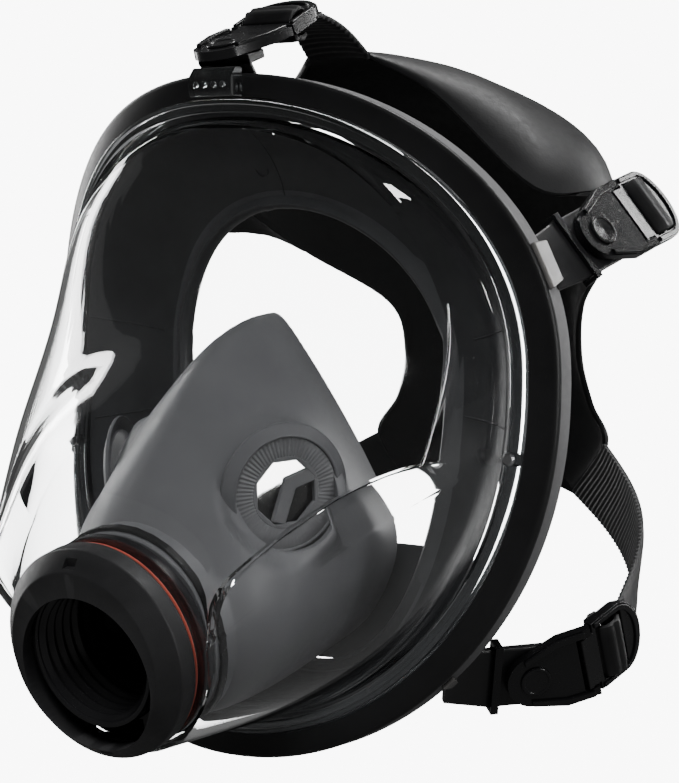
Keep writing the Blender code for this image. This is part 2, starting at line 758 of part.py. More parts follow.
LOCK_OUTLINE += LOCK_END + [(3.3, LOCK_HALF_WIDTH), (3.3, 9.1)]
LOCK_WINDOWS = [rectangle(5.0, 9.6, -9.6, 9.6), rectangle(11.9, 16.5, -9.6, 9.6)]
STUD_PROFILE = ((0.0, 5.0), (3.9, 5.0), (4.6, 4.4), (4.6, 3.7), (3.0, 3.7), (3.0, 0.3), (0.0, 0.3))
STRAP_PATH = (
    (20.0, -2.7),
    (16.6, -2.6),
    (14.2, -1.0),
    (14.2, 1.0),
    (12.9, 2.7),
    (8.6, 2.7),
    (7.3, 1.0),
    (7.3, -3.8),
    (8.8, -5.4),
    (13.0, -5.6),
)


def ribbon_outline(path, thickness):
    """Closed outline of a strip of even thickness along a flat path."""
    left, right = [], []
    for i, (x, y) in enumerate(path):
        before = Vector(path[max(i - 1, 0)])
        after = Vector(path[min(i + 1, len(path) - 1)])
        along = (after - before).normalized()
        left.append((x - along.y * thickness / 2, y + along.x * thickness / 2))
        right.append((x + along.y * thickness / 2, y - along.x * thickness / 2))
    return left + list(reversed(right))


def buckle_frames(name):
    """Frames of a buckle: its lug, its swivelling base and its leaning lock."""
    mirrored = name.startswith("right")
    stud, along, outward, swivel, lean = BUCKLES[name.replace("right", "left")]
    flip = Vector((-1.0, 1.0, 1.0)) if mirrored else Vector((1.0, 1.0, 1.0))
    lug = frame(Vector(stud) * flip, Vector(along) * flip, Vector(outward) * flip)
    base = lug @ Matrix.Rotation(math.radians(-swivel if mirrored else swivel), 4, "Z")
    hinge = base @ Matrix.Translation((HINGE_REACH, 0.0, PIN_HEIGHT))
    lock = hinge @ Matrix.Rotation(math.radians(lean), 4, "Y")
    return lug, base, lock


def add_lug(name, lug):
    """Joins a buckle's rubber tab to the face piece: a strip from inside the band to under the base."""
    mirrored = name.startswith("right")
    angle, inset = LUG_ROOTS[name.replace("right", "left")]
    root = rim_point(-angle if mirrored else angle, inset, 9.4)
    width = lug.to_3x3() @ Vector((0.0, LUG_WIDTH / 2, 0.0))
    up = lug.to_3x3() @ Vector((0.0, 0.0, 1.0))
    back = -1.0 if name == "top" else -13.5
    low = -LUG_THICKNESS / 2
    stops = [root, lug @ Vector((back, 0.0, low)), lug @ Vector((6.5, 0.0, low))]
    sections = []
    for stop, spread, half in zip(stops, (0.8, 1.0, 1.0), (1.3, LUG_THICKNESS / 2, LUG_THICKNESS / 2)):
        corners = ((-spread, -half), (spread, -half), (spread, half), (-spread, half))
        sections.append([stop + width * a + up * b for a, b in corners])
    tab = loft("lug_" + name, sections, None, cyclic=False, group=CUTTERS, smooth_angle=None)
    boolean(face_piece, cutter_style(tab), "UNION")


SIDEWAYS = Matrix.Rotation(math.pi / 2, 4, "X")
LOCK_FRAMES = {}
for name in ("top", "left_temple", "right_temple", "left_lower", "right_lower"):
    lug, base, lock = buckle_frames(name)
    LOCK_FRAMES[name] = lock
    add_lug(name, lug)
    hinge = base @ Matrix.Translation((HINGE_REACH, 0.0, PIN_HEIGHT))
    pin_hole = rod_cutter("pin_hole_cutter_" + name, PIN_RADIUS + 0.25, 40.0, hinge)
    base_outlines = [BASE_OUTLINE, circle(3.4, 20)]
    base_plate = plate("buckle_base_" + name, base_outlines, BASE_LOW, BASE_HIGH, BLACK_PLASTIC, base)
    boolean(base_plate, pin_hole)
    lock_plate = plate(
        "ladder_lock_" + name,
        [LOCK_OUTLINE] + LOCK_WINDOWS,
        -LOCK_THICKNESS / 2,
        LOCK_THICKNESS / 2,
        BLACK_PLASTIC,
        lock,
    )
    boolean(lock_plate, pin_hole)
    pin_profile = ((0.0, 12.0), (PIN_RADIUS, 12.0), (PIN_RADIUS, -12.0), (0.0, -12.0))
    lathe("hinge_pin_" + name, pin_profile, STEEL, hinge @ SIDEWAYS, 10, closed=False)
    lathe("swivel_stud_" + name, STUD_PROFILE, BLACK_PLASTIC, lug, 24, closed=False)
    plate(
        "strap_end_" + name,
        [ribbon_outline(STRAP_PATH, STRAP_THICKNESS)],
        -STRAP_WIDTH / 2,
        STRAP_WIDTH / 2,
        HARNESS_RUBBER,
        lock @ SIDEWAYS,
    )
    if name != "top":
        waist = lug @ Matrix.Translation((-11.9, 0.0, -LUG_THICKNESS / 2))
        across = waist @ Matrix.Rotation(math.pi / 2, 4, "Y")
        half = LUG_WIDTH / 2
        collar_outside = rectangle(-3.0, 3.0, -half - 1.6, half + 1.6)
        collar_inside = rectangle(-1.8, 1.8, -half - 0.4, half + 0.4)
        collar_outlines = [collar_outside, collar_inside]
        plate("lug_collar_" + name, collar_outlines, -1.2, 1.2, BLACK_PLASTIC, across)


# ---------------------------------------------------------------- head harness

# Rows of the back sheet from the crown down: middle point, then left edge point.
SHEET_ROWS = (
    ((0.0, 60.0, 101.0), (12.0, 60.0, 99.5)),
    ((0.0, 78.0, 101.0), (30.0, 70.0, 88.0)),
    ((0.0, 98.0, 98.0), (66.0, 72.0, 58.0)),
    ((0.0, 120.0, 87.0), (74.0, 99.0, 56.0)),
    ((0.0, 140.0, 62.0), (62.0, 123.0, 38.0)),
    ((0.0, 149.0, 34.0), (40.0, 143.0, 20.0)),
    ((0.0, 151.0, 6.0), (36.0, 148.0, 2.0)),
    ((0.0, 151.0, -12.0), (40.0, 149.0, -14.0)),
    ((0.0, 151.0, -26.0), (47.0, 147.0, -27.0)),
    ((0.0, 151.0, -34.0), (34.0, 148.0, -44.0)),
)
SHEET_COLUMNS = 7
TEMPLE_ROWS = (2, 3, 4)
LOWER_ROWS = (8, 9)


def sheet_point(row, share):
    """Point across a sheet row, share -1 at the right edge and 1 at the left, on a quarter-ellipse arc."""
    middle, edge = Vector(row[0]), Vector(row[1])
    turn = share * math.pi / 2
    drop = 1 - math.cos(turn)
    y = middle.y + (edge.y - middle.y) * drop
    z = middle.z + (edge.z - middle.z) * drop
    return Vector((edge.x * math.sin(turn), y, z))


def tip_row(name, count):
    """Points across the end of an arm, where it meets the strap in the lock."""
    lock = LOCK_FRAMES[name]
    spots = [-1.0 + 2.0 * k / (count - 1) for k in range(count)]
    return [lock @ Vector((22.6, STRAP_WIDTH / 2 * s, -3.4)) for s in spots]


def arm_rows(roots, tips, steps, bow):
    """Rows between a root edge and the tip, bowed outwards along a given vector."""
    rows = []
    for k in range(1, steps):
        share = k / steps
        push = Vector(bow) * math.sin(math.pi * share)
        rows.append([a.lerp(b, share) + push for a, b in zip(roots, tips)])
    return rows + [tips]


def harness_mesh():
    points, faces = [], []

    def put(point):
        points.append(point)
        return len(points) - 1

    shares = [-1.0 + 2.0 * k / (SHEET_COLUMNS - 1) for k in range(SHEET_COLUMNS)]
    grid = [[put(sheet_point(row, s)) for s in shares] for row in SHEET_ROWS]
    for upper, lower in zip(grid, grid[1:]):
        faces += [(upper[k], upper[k + 1], lower[k + 1], lower[k]) for k in range(SHEET_COLUMNS - 1)]

    def arm(roots, name, steps, bow):
        tips = tip_row(name, len(roots))
        if (points[roots[0]] - tips[0]).length > (points[roots[0]] - tips[-1]).length:
            tips.reverse()
        last = roots
        for row in arm_rows([points[r] for r in roots], tips, steps, bow):
            new = [put(p) for p in row]
            faces.extend((last[k], last[k + 1], new[k + 1], new[k]) for k in range(len(roots) - 1))
            last = new

    arm(grid[0], "top", 3, (0.0, 0.0, 2.0))
    for column, word, side in ((-1, "left", 1.0), (0, "right", -1.0)):
        arm([grid[r][column] for r in TEMPLE_ROWS], word + "_temple", 4, (side * -3.0, 7.0, 0.0))
        arm([grid[r][column] for r in LOWER_ROWS], word + "_lower", 5, (side * 7.0, 6.0, 0.0))
    return mesh_of("head_harness", points, faces)


harness = add("head_harness", harness_mesh(), HARNESS_RUBBER)
thicken = harness.modifiers.new("thickness", "SOLIDIFY")
thicken.thickness = HARNESS_THICKNESS * MM
thicken.offset = 0.0
thicken.use_even_offset = True
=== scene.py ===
"""Looks of the full face respirator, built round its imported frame.

Points below are in millimetres in the row frame: +Z up, the mask faces -Y, +X is the wearer's left.
"""

import math

import bmesh
import bpy
import numpy as np
from mathutils import Matrix, Vector


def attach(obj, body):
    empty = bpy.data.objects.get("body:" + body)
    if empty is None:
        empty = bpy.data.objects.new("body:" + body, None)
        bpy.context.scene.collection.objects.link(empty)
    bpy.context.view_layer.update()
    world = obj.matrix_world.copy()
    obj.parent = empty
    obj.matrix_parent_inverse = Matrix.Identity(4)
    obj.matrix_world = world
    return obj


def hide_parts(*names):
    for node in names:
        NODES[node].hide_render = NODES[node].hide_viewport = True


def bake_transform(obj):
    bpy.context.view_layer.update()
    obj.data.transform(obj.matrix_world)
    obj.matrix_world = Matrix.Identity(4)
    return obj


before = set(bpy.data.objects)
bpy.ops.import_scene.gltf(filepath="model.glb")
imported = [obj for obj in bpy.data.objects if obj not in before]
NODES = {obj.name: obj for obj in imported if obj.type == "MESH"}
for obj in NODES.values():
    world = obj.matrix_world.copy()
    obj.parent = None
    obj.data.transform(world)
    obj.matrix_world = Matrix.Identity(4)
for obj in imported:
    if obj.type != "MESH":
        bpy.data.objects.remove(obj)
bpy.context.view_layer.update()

MM = 0.001

# Rim and face piece.
RIM_HALF_WIDTH = 98.0
RIM_TOP = 92.0
RIM_BOTTOM = 117.0
RIM_SQUARENESS = 2.2
RIM_SIDE_SWEEP = 36.0
RIM_CHIN_SWEEP = 5.5
BAND_WIDTH = 7.6
BAND_DEPTH = 8.0
OPENING_HALF_WIDTH = 53.0
OPENING_TOP = 53.0
OPENING_BOTTOM = 95.0
OPENING_BACK_TOP = 32.0
OPENING_BACK_SIDE = 46.0
OPENING_BACK_CHIN = 50.0
LIP_RADIUS = 3.2
UPPER_STATIONS = 120
LOWER_STATIONS = 90
WALL_STEPS = 14
WALL_FINE = 40
LIP_STEPS = 12
MARK_STEP = 26

# Rim sections, each point as its inset from the outer corner and its distance behind the front.
BAND_FRONT = (
    (BAND_WIDTH, 0.6),
    (BAND_WIDTH - 0.2, 0.15),
    (BAND_WIDTH - 0.7, 0.0),
    (1.4, 0.0),
    (0.7, 0.1),
    (0.2, 0.5),
    (0.0, 1.1),
)
BAND_SIDE = (
    (0.0, 1.5),
    (0.25, 1.8),
    (0.25, BAND_DEPTH - 0.6),
    (0.5, BAND_DEPTH - 0.1),
    (1.4, BAND_DEPTH + 0.6),
    (5.0, BAND_DEPTH + 3.0),
)
BAND_GROOVE = ((12.0, 5.6), (2.0, 5.4), (2.0, 2.0), (BAND_WIDTH, 2.0))

# Chin sling.
CHIN_TOP = -53.0
CHIN_BOTTOM = -92.6
CHIN_GAP = 1.0
CHIN_WALL = 2.0
CHIN_HOLLOW = 2.5

# Visor.
CREASE_ANGLE = math.radians(100.5)
CREASE_ROUND = math.radians(0.35)
VISOR_THICKNESS = 2.2
VISOR_START_INSET = 13.0
VISOR_STEPS = 44
VISOR_FALL = 1.8
VISOR_HEIGHTS = (-80.0, -45.0, -15.0, 20.0, 55.0, 79.0)
VISOR_DEPTHS = (97.0, 90.0, 79.0, 51.0, 31.0, 0.0)
VISOR_SQUARENESS = (2.6, 2.05, 1.85, 1.7, 1.8, 1.85)
VISOR_LIP_DEPTH = 14.2
VISOR_HOLE_RADIUS = 29.8
VISOR_LIP_RADIUS = 34.4
VISOR_FLANGE = ((VISOR_START_INSET + 2.4, 5.0), (2.6, 5.0), (2.6, 2.3))
HEIGHT_STEP = 2.5
HEIGHT_REACH = 6
RING_START = 8.0
RING_END = 11.8
RING_FRONT = -2.0
RING_GAP = math.radians(0.9)
RING_STATIONS = 180
RING_OUTLINE = (
    (RING_START, 2.0),
    (RING_START, RING_FRONT),
    (RING_START + 1.3, RING_FRONT),
    (RING_START + 1.5, RING_FRONT + 1.0),
    (RING_END - 0.9, RING_FRONT + 1.0),
    (RING_END, RING_FRONT + 1.7),
    (RING_END, 2.0),
)

# Port.
PORT_FRONT = Vector((0.0, -64.0, -79.3))
PORT_PITCH = math.radians(14.8)
PORT_AXIS = Vector((0.0, -math.cos(PORT_PITCH), -math.sin(PORT_PITCH)))
PORT_UP = Vector((0.0, -math.sin(PORT_PITCH), math.cos(PORT_PITCH)))
CAP_RADIUS = 32.4
CAP_DEPTH = 12.0
THREAD_ROOT = 20.3
THREAD_CREST = 18.8
THREAD_PITCH = 3.63
THREAD_TURNS = 5
THREAD_START = -4.4
# One turn of the thread, as shares of the pitch behind its start and radii.
THREAD_SHAPE = (
    (0.0, THREAD_ROOT),
    (0.22, THREAD_CREST + 0.5),
    (0.36, THREAD_CREST),
    (0.50, THREAD_CREST),
    (0.64, THREAD_CREST + 0.5),
    (0.86, THREAD_ROOT),
)

# Nose cup.
CUP_WALL = 2.0
CUP_STATIONS = 168
CUP_STEPS = 44
CUP_BASE_RADIUS = 31.4
CUP_BASE_INNER = 29.6
CUP_BASE_DEPTH = 31.0
CUP_VALVE_CENTRE = Vector((31.0, -9.0, -33.0))
CUP_VALVE_NORMAL = Vector((0.83, -0.50, 0.24)).normalized()

# Buckles and straps.
NAMES = ("top", "left_temple", "right_temple", "left_lower", "right_lower")
LUG_WIDTH = 20.0
LUG_THICKNESS = 3.0
HINGE_REACH = 17.0
PIN_HEIGHT = 1.9
LOCK_HALF_WIDTH = 12.2
STRAP_HALF_WIDTH = 9.0
STRAP_HALF_THICKNESS = 0.9
STRAP_ENTRY = (22.6, -3.4)
HARNESS_HALF_THICKNESS = 1.1

CLEAR_IOR = 1.56

# Mesh making.
MERGE_DISTANCE = 1e-6
SHARP_ANGLE = math.radians(35.0)
EDGE_SEGMENTS = 3


# ---------------------------------------------------------------- materials


def fill(node, **values):
    """Sets a shader node's inputs; an underscore stands for a space in an input's name."""
    for name, value in values.items():
        node.inputs[name.replace("_", " ")].default_value = value


class Graph:
    """Short words for building one Principled material on a piece's own coordinates."""

    def __init__(self, name):
        self.mat = bpy.data.materials.new(name)
        self.mat.use_nodes = True
        self.tree = self.mat.node_tree
        self.shader = self.tree.nodes["Principled BSDF"]
        self.coordinates = self.node("TexCoord").outputs["Object"]

    def node(self, kind, **values):
        node = self.tree.nodes.new("ShaderNode" + kind)
        fill(node, **values)
        return node

    def link(self, source, target):
        self.tree.links.new(source, target)

    def noise(self, scale, detail=3.0, distortion=0.0):
        node = self.node("TexNoise", Scale=scale, Detail=detail, Distortion=distortion)
        self.link(self.coordinates, node.inputs["Vector"])
        return node.outputs["Fac"]

    def spread(self, source, low, high, start=0.3, end=0.7):
        """Values of a source between start and end, stretched to low and high."""
        node = self.node("MapRange", From_Min=start, From_Max=end, To_Min=low, To_Max=high)
        self.link(source, node.inputs["Value"])
        return node.outputs["Result"]

    def math(self, operation, first, second):
        node = self.node("Math")
        node.operation = operation
        self.link(first, node.inputs[0])
        self.link(second, node.inputs[1])
        return node.outputs["Value"]

    def between(self, factor, first, second):
        """Mix of two colours, of which the first may be another node's output."""
        node = self.node("Mix")
        node.data_type = "RGBA"
        if isinstance(first, tuple):
            fill(node, A=(*first, 1.0))
        else:
            self.link(first, node.inputs["A"])
        fill(node, B=(*second, 1.0))
        self.link(factor, node.inputs["Factor"])
        return node.outputs["Result"]

    def bump(self, height, strength, distance, before=None):
        node = self.node("Bump", Strength=strength, Distance=distance)
        self.link(height, node.inputs["Height"])
        if before:
            self.link(before, node.inputs["Normal"])
        return node.outputs["Normal"]


def moulded(name, colour, rough, grain=2600.0, relief=0.25, mottle=0.25, wear=0.0, waves=0.0006):
    """Moulded rubber or plastic: mottled colour, uneven gloss, a fine pebble and paler worn edges."""
    g = Graph(name)
    broad = g.noise(55.0, 4.0, 0.4)
    middle = g.noise(420.0, 3.0)
    fine = g.noise(grain, 2.0)
    dark = tuple(c * (1 - mottle) for c in colour)
    pale = tuple(c * (1 + mottle) for c in colour)
    tint = g.between(g.spread(broad, 0.0, 1.0), dark, pale)
    if wear > 0:
        edge = g.node("NewGeometry").outputs["Pointiness"]
        worn = g.spread(edge, 0.0, wear, 0.515, 0.60)
        tint = g.between(worn, tint, tuple(min(1.0, c * 3.0 + 0.03) for c in colour))
    g.link(tint, g.shader.inputs["Base Color"])
    g.link(g.spread(middle, rough * 0.88, rough * 1.12), g.shader.inputs["Roughness"])
    soft = g.bump(broad, 0.15, waves)
    g.link(g.bump(fine, relief, 0.00012, soft), g.shader.inputs["Normal"])
    return g.mat


def clear(name, tint, rough, smear):
    """Clear moulded plastic: bends light, lets lamps through, with faint ripples and handling smears."""
    g = Graph(name)
    smears = g.noise(38.0, 6.0, 1.6)
    g.link(g.spread(smears, rough, rough + smear, 0.45, 0.75), g.shader.inputs["Roughness"])
    g.link(g.bump(g.noise(16.0, 1.0), 0.10, 0.0012), g.shader.inputs["Normal"])
    fill(g.shader, Base_Color=(*tint, 1.0), Transmission_Weight=1.0, IOR=CLEAR_IOR)
    through = g.node("BsdfTransparent", Color=(*tint, 1.0))
    mix = g.node("MixShader")
    g.link(g.node("LightPath").outputs["Is Shadow Ray"], mix.inputs[0])
    g.link(g.shader.outputs["BSDF"], mix.inputs[1])
    g.link(through.outputs["BSDF"], mix.inputs[2])
    g.link(mix.outputs["Shader"], g.tree.nodes["Material Output"].inputs["Surface"])
    return g.mat


BAND_RUBBER = moulded("band_rubber", (0.007, 0.007, 0.0075), 0.36, wear=0.25)
# Painted light: the side band is drawn pale grey for the light falling on it from the right, though it is
# the same black rubber as the front band.
LIT_SIDE_RUBBER = moulded("lit_side_rubber", (0.125, 0.125, 0.128), 0.62, mottle=0.12, wear=0.3)
SHOE_RUBBER = moulded("shoe_rubber", (0.16, 0.155, 0.15), 0.22, relief=0.1, mottle=0.4, waves=0.0003)
WALL_RUBBER = moulded("wall_rubber", (0.024, 0.0245, 0.026), 0.40, grain=1800.0, relief=0.07)
LIP_RUBBER = moulded("lip_rubber", (0.060, 0.061, 0.064), 0.34, mottle=0.15)
CUP_RUBBER = moulded("cup_rubber", (0.105, 0.106, 0.111), 0.40, grain=1500.0, relief=0.035, mottle=0.09)
SEAT_RUBBER = moulded("seat_rubber", (0.130, 0.131, 0.136), 0.42, grain=1500.0, relief=0.12, mottle=0.1)
HARNESS_RUBBER = moulded("harness_rubber", (0.0055, 0.0055, 0.006), 0.50, grain=1300.0, wear=0.3)
LUG_RUBBER = moulded("lug_rubber", (0.007, 0.007, 0.0075), 0.36, wear=0.35, waves=0.0001)
BLACK_PLASTIC = moulded(
    "black_plastic", (0.006, 0.006, 0.0065), 0.25, grain=3200.0, relief=0.06, mottle=0.12, waves=0.00002
)
CAP_PLASTIC = moulded("cap_plastic", (0.022, 0.022, 0.023), 0.46, grain=3600.0, relief=0.35, wear=0.35)
BORE_PLASTIC = moulded("bore_plastic", (0.012, 0.012, 0.013), 0.22, grain=3000.0, waves=0.00004)
RED_RUBBER = moulded("red_rubber", (0.42, 0.085, 0.060), 0.36, mottle=0.12)
SMOKED = moulded("smoked", (0.020, 0.020, 0.021), 0.30, mottle=0.1)
STEEL = moulded("steel", (0.55, 0.55, 0.56), 0.30, mottle=0.1)
fill(STEEL.node_tree.nodes["Principled BSDF"], Metallic=1.0)
VISOR_CLEAR = clear("visor_clear", (0.985, 0.990, 0.992), 0.0, 0.05)
RING_CLEAR = clear("ring_clear", (0.93, 0.95, 0.96), 0.02, 0.08)
SILICONE = clear("silicone", (0.97, 0.97, 0.96), 0.03, 0.05)


# ---------------------------------------------------------------- mesh helpers


def axes(origin, x_axis, z_axis):
    """Matrix at origin with the given local X and, squared up to it, local Z."""
    x = Vector(x_axis).normalized()
    z = Vector(z_axis)
    z = (z - x * z.dot(x)).normalized()
    matrix = Matrix((x, z.cross(x), z)).transposed().to_4x4()
    matrix.translation = Vector(origin)
    return matrix


def shift(x, y, z):
    return Matrix.Translation((x, y, z))


def turn(angle, axis):
    return Matrix.Rotation(angle, 4, axis)


PORT = axes(PORT_FRONT, (1.0, 0.0, 0.0), PORT_AXIS)


def stations(count):
    """Even angles round a full turn."""
    return [math.tau * i / count for i in range(count)]


def span(count, start, end):
    """Even values from start to end, both included."""
    return [start + (end - start) * i / (count - 1) for i in range(count)]


def linked(name, data):
    """New object in the scene round a mesh, curve, light or camera."""
    obj = bpy.data.objects.new(name, data)
    bpy.context.scene.collection.objects.link(obj)
    return obj


def evaluated(obj):
    """New mesh of an object as its modifiers or curve settings leave it."""
    return bpy.data.meshes.new_from_object(obj.evaluated_get(bpy.context.evaluated_depsgraph_get()))


def merged(mesh):
    """The mesh opened for editing, with doubled points merged and its faces turned outwards."""
    work = bmesh.new()
    work.from_mesh(mesh)
    bmesh.ops.remove_doubles(work, verts=work.verts, dist=MERGE_DISTANCE)
    bmesh.ops.recalc_face_normals(work, faces=work.faces)
    return work


def curve_mesh(name, curve, paths, closed, mats):
    """Mesh of a curve drawn through paths of flat or solid millimetre points."""
    for path in paths:
        spline = curve.splines.new("POLY")
        spline.points.add(len(path) - 1)
        for point, place in zip(spline.points, path):
            x, y, z = (*place, 0.0)[:3]
            point.co = (x * MM, y * MM, z * MM, 1.0)
        spline.use_cyclic_u = closed
    guide = linked(name + "_path", curve)
    mesh = evaluated(guide)
    bpy.data.objects.remove(guide)
    mesh.materials.clear()
    for mat in mats:
        mesh.materials.append(mat)
    return mesh


def mesh_object(name, points, faces, mats, matrix=None, sharp=35.0, choice=None):
    """Smooth object from millimetre points. choice gives the material number of each face."""
    place = matrix or Matrix.Identity(4)
    mesh = bpy.data.meshes.new(name)
    mesh.from_pydata([tuple(place @ Vector(p) * MM) for p in points], [], faces)
    for mat in mats:
        mesh.materials.append(mat)
    if choice:
        mesh.polygons.foreach_set("material_index", choice)
    work = merged(mesh)
    if work.calc_volume(signed=True) < 0:
        bmesh.ops.reverse_faces(work, faces=work.faces)
    work.to_mesh(mesh)
    work.free()
    mesh.shade_smooth()
    mesh.set_sharp_from_angle(angle=math.radians(sharp))
    return linked(name, mesh)


def loft(name, sections, mats, cyclic=True, matrix=None, sharp=35.0, strip=None):
    """Solid through closed sections of equal count. strip(k) gives the material number along edge k."""
    count = len(sections[0])
    points = [p for section in sections for p in section]
    faces, choice = [], []
    spans = len(sections) if cyclic else len(sections) - 1
    for i in range(spans):
        j = (i + 1) % len(sections)
        for k in range(count):
            m = (k + 1) % count
            faces.append((i * count + k, i * count + m, j * count + m, j * count + k))
            choice.append(strip(k) if strip else 0)
    if not cyclic:
        faces.append(tuple(range(count)))
        faces.append(tuple(range(len(points) - count, len(points))))
        choice += [0, 0]
    return mesh_object(name, points, faces, mats, matrix, sharp, choice)


def rounded(outline, radius, steps=3):
    """Closed outline with each corner replaced by a short curve."""
    result = []
    for i, corner in enumerate(outline):
        here = Vector(corner)
        before = Vector(outline[i - 1]) - here
        after = Vector(outline[(i + 1) % len(outline)]) - here
        start = here + before.normalized() * min(radius, before.length * 0.45)
        end = here + after.normalized() * min(radius, after.length * 0.45)
        for k in range(steps + 1):
            t = k / steps
            result.append(start * (1 - t) ** 2 + here * (2 * t * (1 - t)) + end * t * t)
    return result


def turned(name, profile, mats, matrix=PORT, steps=128, fillet=0.3, sharp=30.0, wave=None):
    """Round piece from a closed profile of (radius, height), turned about local Z."""
    outline = rounded(profile, fillet) if fillet else [Vector(p) for p in profile]
    sections = []
    for angle in stations(steps):
        lift = wave(angle) if wave else 0.0
        sections.append([(p.x * math.cos(angle), p.x * math.sin(angle), p.y + lift) for p in outline])
    return loft(name, sections, mats, matrix=matrix, sharp=sharp)


def circle(radius, count, x=0.0, y=0.0):
    return [(x + radius * math.cos(a), y + radius * math.sin(a)) for a in stations(count)]


def rectangle(x0, x1, y0, y1):
    return [(x0, y0), (x1, y0), (x1, y1), (x0, y1)]


def slab(name, outlines, low, high, mats, matrix, bevel=0.35):
    """Plate with holes between two heights on local Z, its edges rounded."""
    curve = bpy.data.curves.new(name, "CURVE")
    curve.dimensions = "2D"
    curve.fill_mode = "BOTH"
    curve.extrude = (high - low) / 2 * MM
    mesh = curve_mesh(name, curve, outlines, True, mats)
    place = matrix.copy()
    place.translation = place.translation * MM
    work = merged(mesh)
    bmesh.ops.dissolve_limit(work, angle_limit=0.01, verts=work.verts, edges=work.edges)
    bmesh.ops.translate(work, verts=work.verts, vec=(0.0, 0.0, (high + low) / 2 * MM))
    bmesh.ops.transform(work, matrix=place, verts=work.verts)
    work.to_mesh(mesh)
    work.free()
    mesh.shade_smooth()
    mesh.set_sharp_from_angle(angle=SHARP_ANGLE)
    obj = linked(name, mesh)
    round_edges(obj, bevel)
    return obj


def round_edges(obj, width):
    modifier = obj.modifiers.new("edge", "BEVEL")
    modifier.width = width * MM
    modifier.segments = EDGE_SEGMENTS
    modifier.limit_method = "ANGLE"
    modifier.angle_limit = math.radians(40)
    modifier.harden_normals = True


def cut(obj, cutter):
    """Takes the cutter's shape out of obj for good."""
    modifier = obj.modifiers.new("cut", "BOOLEAN")
    modifier.operation = "DIFFERENCE"
    modifier.object = cutter
    modifier.solver = "EXACT"
    mesh = evaluated(obj)
    obj.modifiers.clear()
    obj.data = mesh
    mesh.set_sharp_from_angle(angle=SHARP_ANGLE)
    bpy.data.objects.remove(cutter)


def box(name, size, matrix):
    x, y, z = (side / 2 for side in size)
    return slab(name, [rectangle(-x, x, -y, y)], -z, z, [], matrix, bevel=0.0)


def catmull_rom(a, b, c, d, f):
    """Point a share f of the way from b to c on a smooth curve through all four."""
    squared = (2 * a - 5 * b + 4 * c - d) * f**2
    cubed = (3 * b - a - 3 * c + d) * f**3
    return 0.5 * (2 * b + (c - a) * f + squared + cubed)


def smooth_step(value):
    t = max(0.0, min(1.0, value))
    return t * t * (3 - 2 * t)


def put(obj, body, slot, *nodes):
    """Makes a piece ride on a body and stand for the given CAD nodes. slot is not used."""
    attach(obj, body)
    if nodes:
        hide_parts(*nodes)


# ---------------------------------------------------------------- rim and face piece


def signed_power(value, power):
    return math.copysign(abs(value) ** power, value)


def rim_point(angle, inset=0.0, back=0.0):
    """Point of the rim's front outer corner at an angle from the top, moved inwards and backwards."""
    c, s = math.cos(angle), math.sin(angle)
    e = 2.0 / RIM_SQUARENESS
    height = RIM_TOP if c > 0 else RIM_BOTTOM
    x = (RIM_HALF_WIDTH - inset) * signed_power(s, e)
    z = (height - inset) * signed_power(c, e)
    y = RIM_SIDE_SWEEP * (x / RIM_HALF_WIDTH) ** 2 + RIM_CHIN_SWEEP * max(0.0, -z / RIM_BOTTOM) ** 2
    return Vector((x, y + back, z))


def rim_row(angle, places):
    return [rim_point(angle, inset, back) for inset, back in places]


def opening_point(angle, grow=0.0, back=0.0):
    c, s = math.cos(angle), math.sin(angle)
    height = OPENING_TOP if c > 0 else OPENING_BOTTOM
    end = OPENING_BACK_TOP if c > 0 else OPENING_BACK_CHIN
    y = end + (OPENING_BACK_SIDE - end) * s * s
    return Vector(((OPENING_HALF_WIDTH + grow) * s, y + back, (height + grow) * c))


def bend(start, middle, end, steps):
    """Points of a smooth curve that passes through the middle point."""
    control = middle * 2 - (start + end) / 2
    shares = [k / steps for k in range(steps + 1)]
    return [start * (1 - t) ** 2 + control * (2 * t * (1 - t)) + end * t * t for t in shares]


def wall_guide(root, lip, bow):
    """Root, middle and lip end of a face of the sealing wall, bowed backwards."""
    return root, (root + lip) / 2 + Vector((0.0, bow, 0.0)), lip


def inner_wall(angle):
    return wall_guide(rim_point(angle, 14.5, 7.6), opening_point(angle, 2.6, -1.6), 3.5)


def outer_wall(angle):
    return wall_guide(rim_point(angle, 13.0, BAND_DEPTH + 3.6), opening_point(angle, 3.0, 1.6), 4.0)


def face_section(angle):
    """Closed section of the rubber body: fronted band, side band, sealing wall and rolled lip."""
    roll = []
    for k in range(LIP_STEPS + 1):
        a = math.radians(80.0 - 160.0 * k / LIP_STEPS)
        roll.append(opening_point(angle, -2.0 * math.cos(a) + 0.4, LIP_RADIUS * math.sin(a)))
    outside = bend(*outer_wall(angle), WALL_STEPS)
    inside = bend(*reversed(inner_wall(angle)), WALL_STEPS)
    band = rim_row(angle, BAND_FRONT + BAND_SIDE)
    return band + outside + roll + inside + rim_row(angle, BAND_GROOVE)


FRONT_EDGES = len(BAND_FRONT)
SIDE_EDGES = 4
OUTSIDE_START = len(BAND_FRONT + BAND_SIDE)
ROLL_START = OUTSIDE_START + WALL_STEPS + 1
INSIDE_START = ROLL_START + LIP_STEPS + 1


def face_strip(k):
    """Material along the section: band, side band (painted paler for the light falling on it), wall or
    lip.
    """
    if k < FRONT_EDGES:
        return 0
    if k < FRONT_EDGES + SIDE_EDGES:
        return 1
    if ROLL_START - 2 <= k < INSIDE_START + 1:
        return 3
    return 2


def fine_angles(upper, lower):
    """Angles round the rim, close together at each crease so that it has a narrow round edge."""
    first = span(upper, 0.0, CREASE_ANGLE - CREASE_ROUND)
    last = span(lower, CREASE_ANGLE + CREASE_ROUND, math.pi)
    right = first + [CREASE_ANGLE] + last
    return right + [math.tau - a for a in reversed(right[1:-1])]


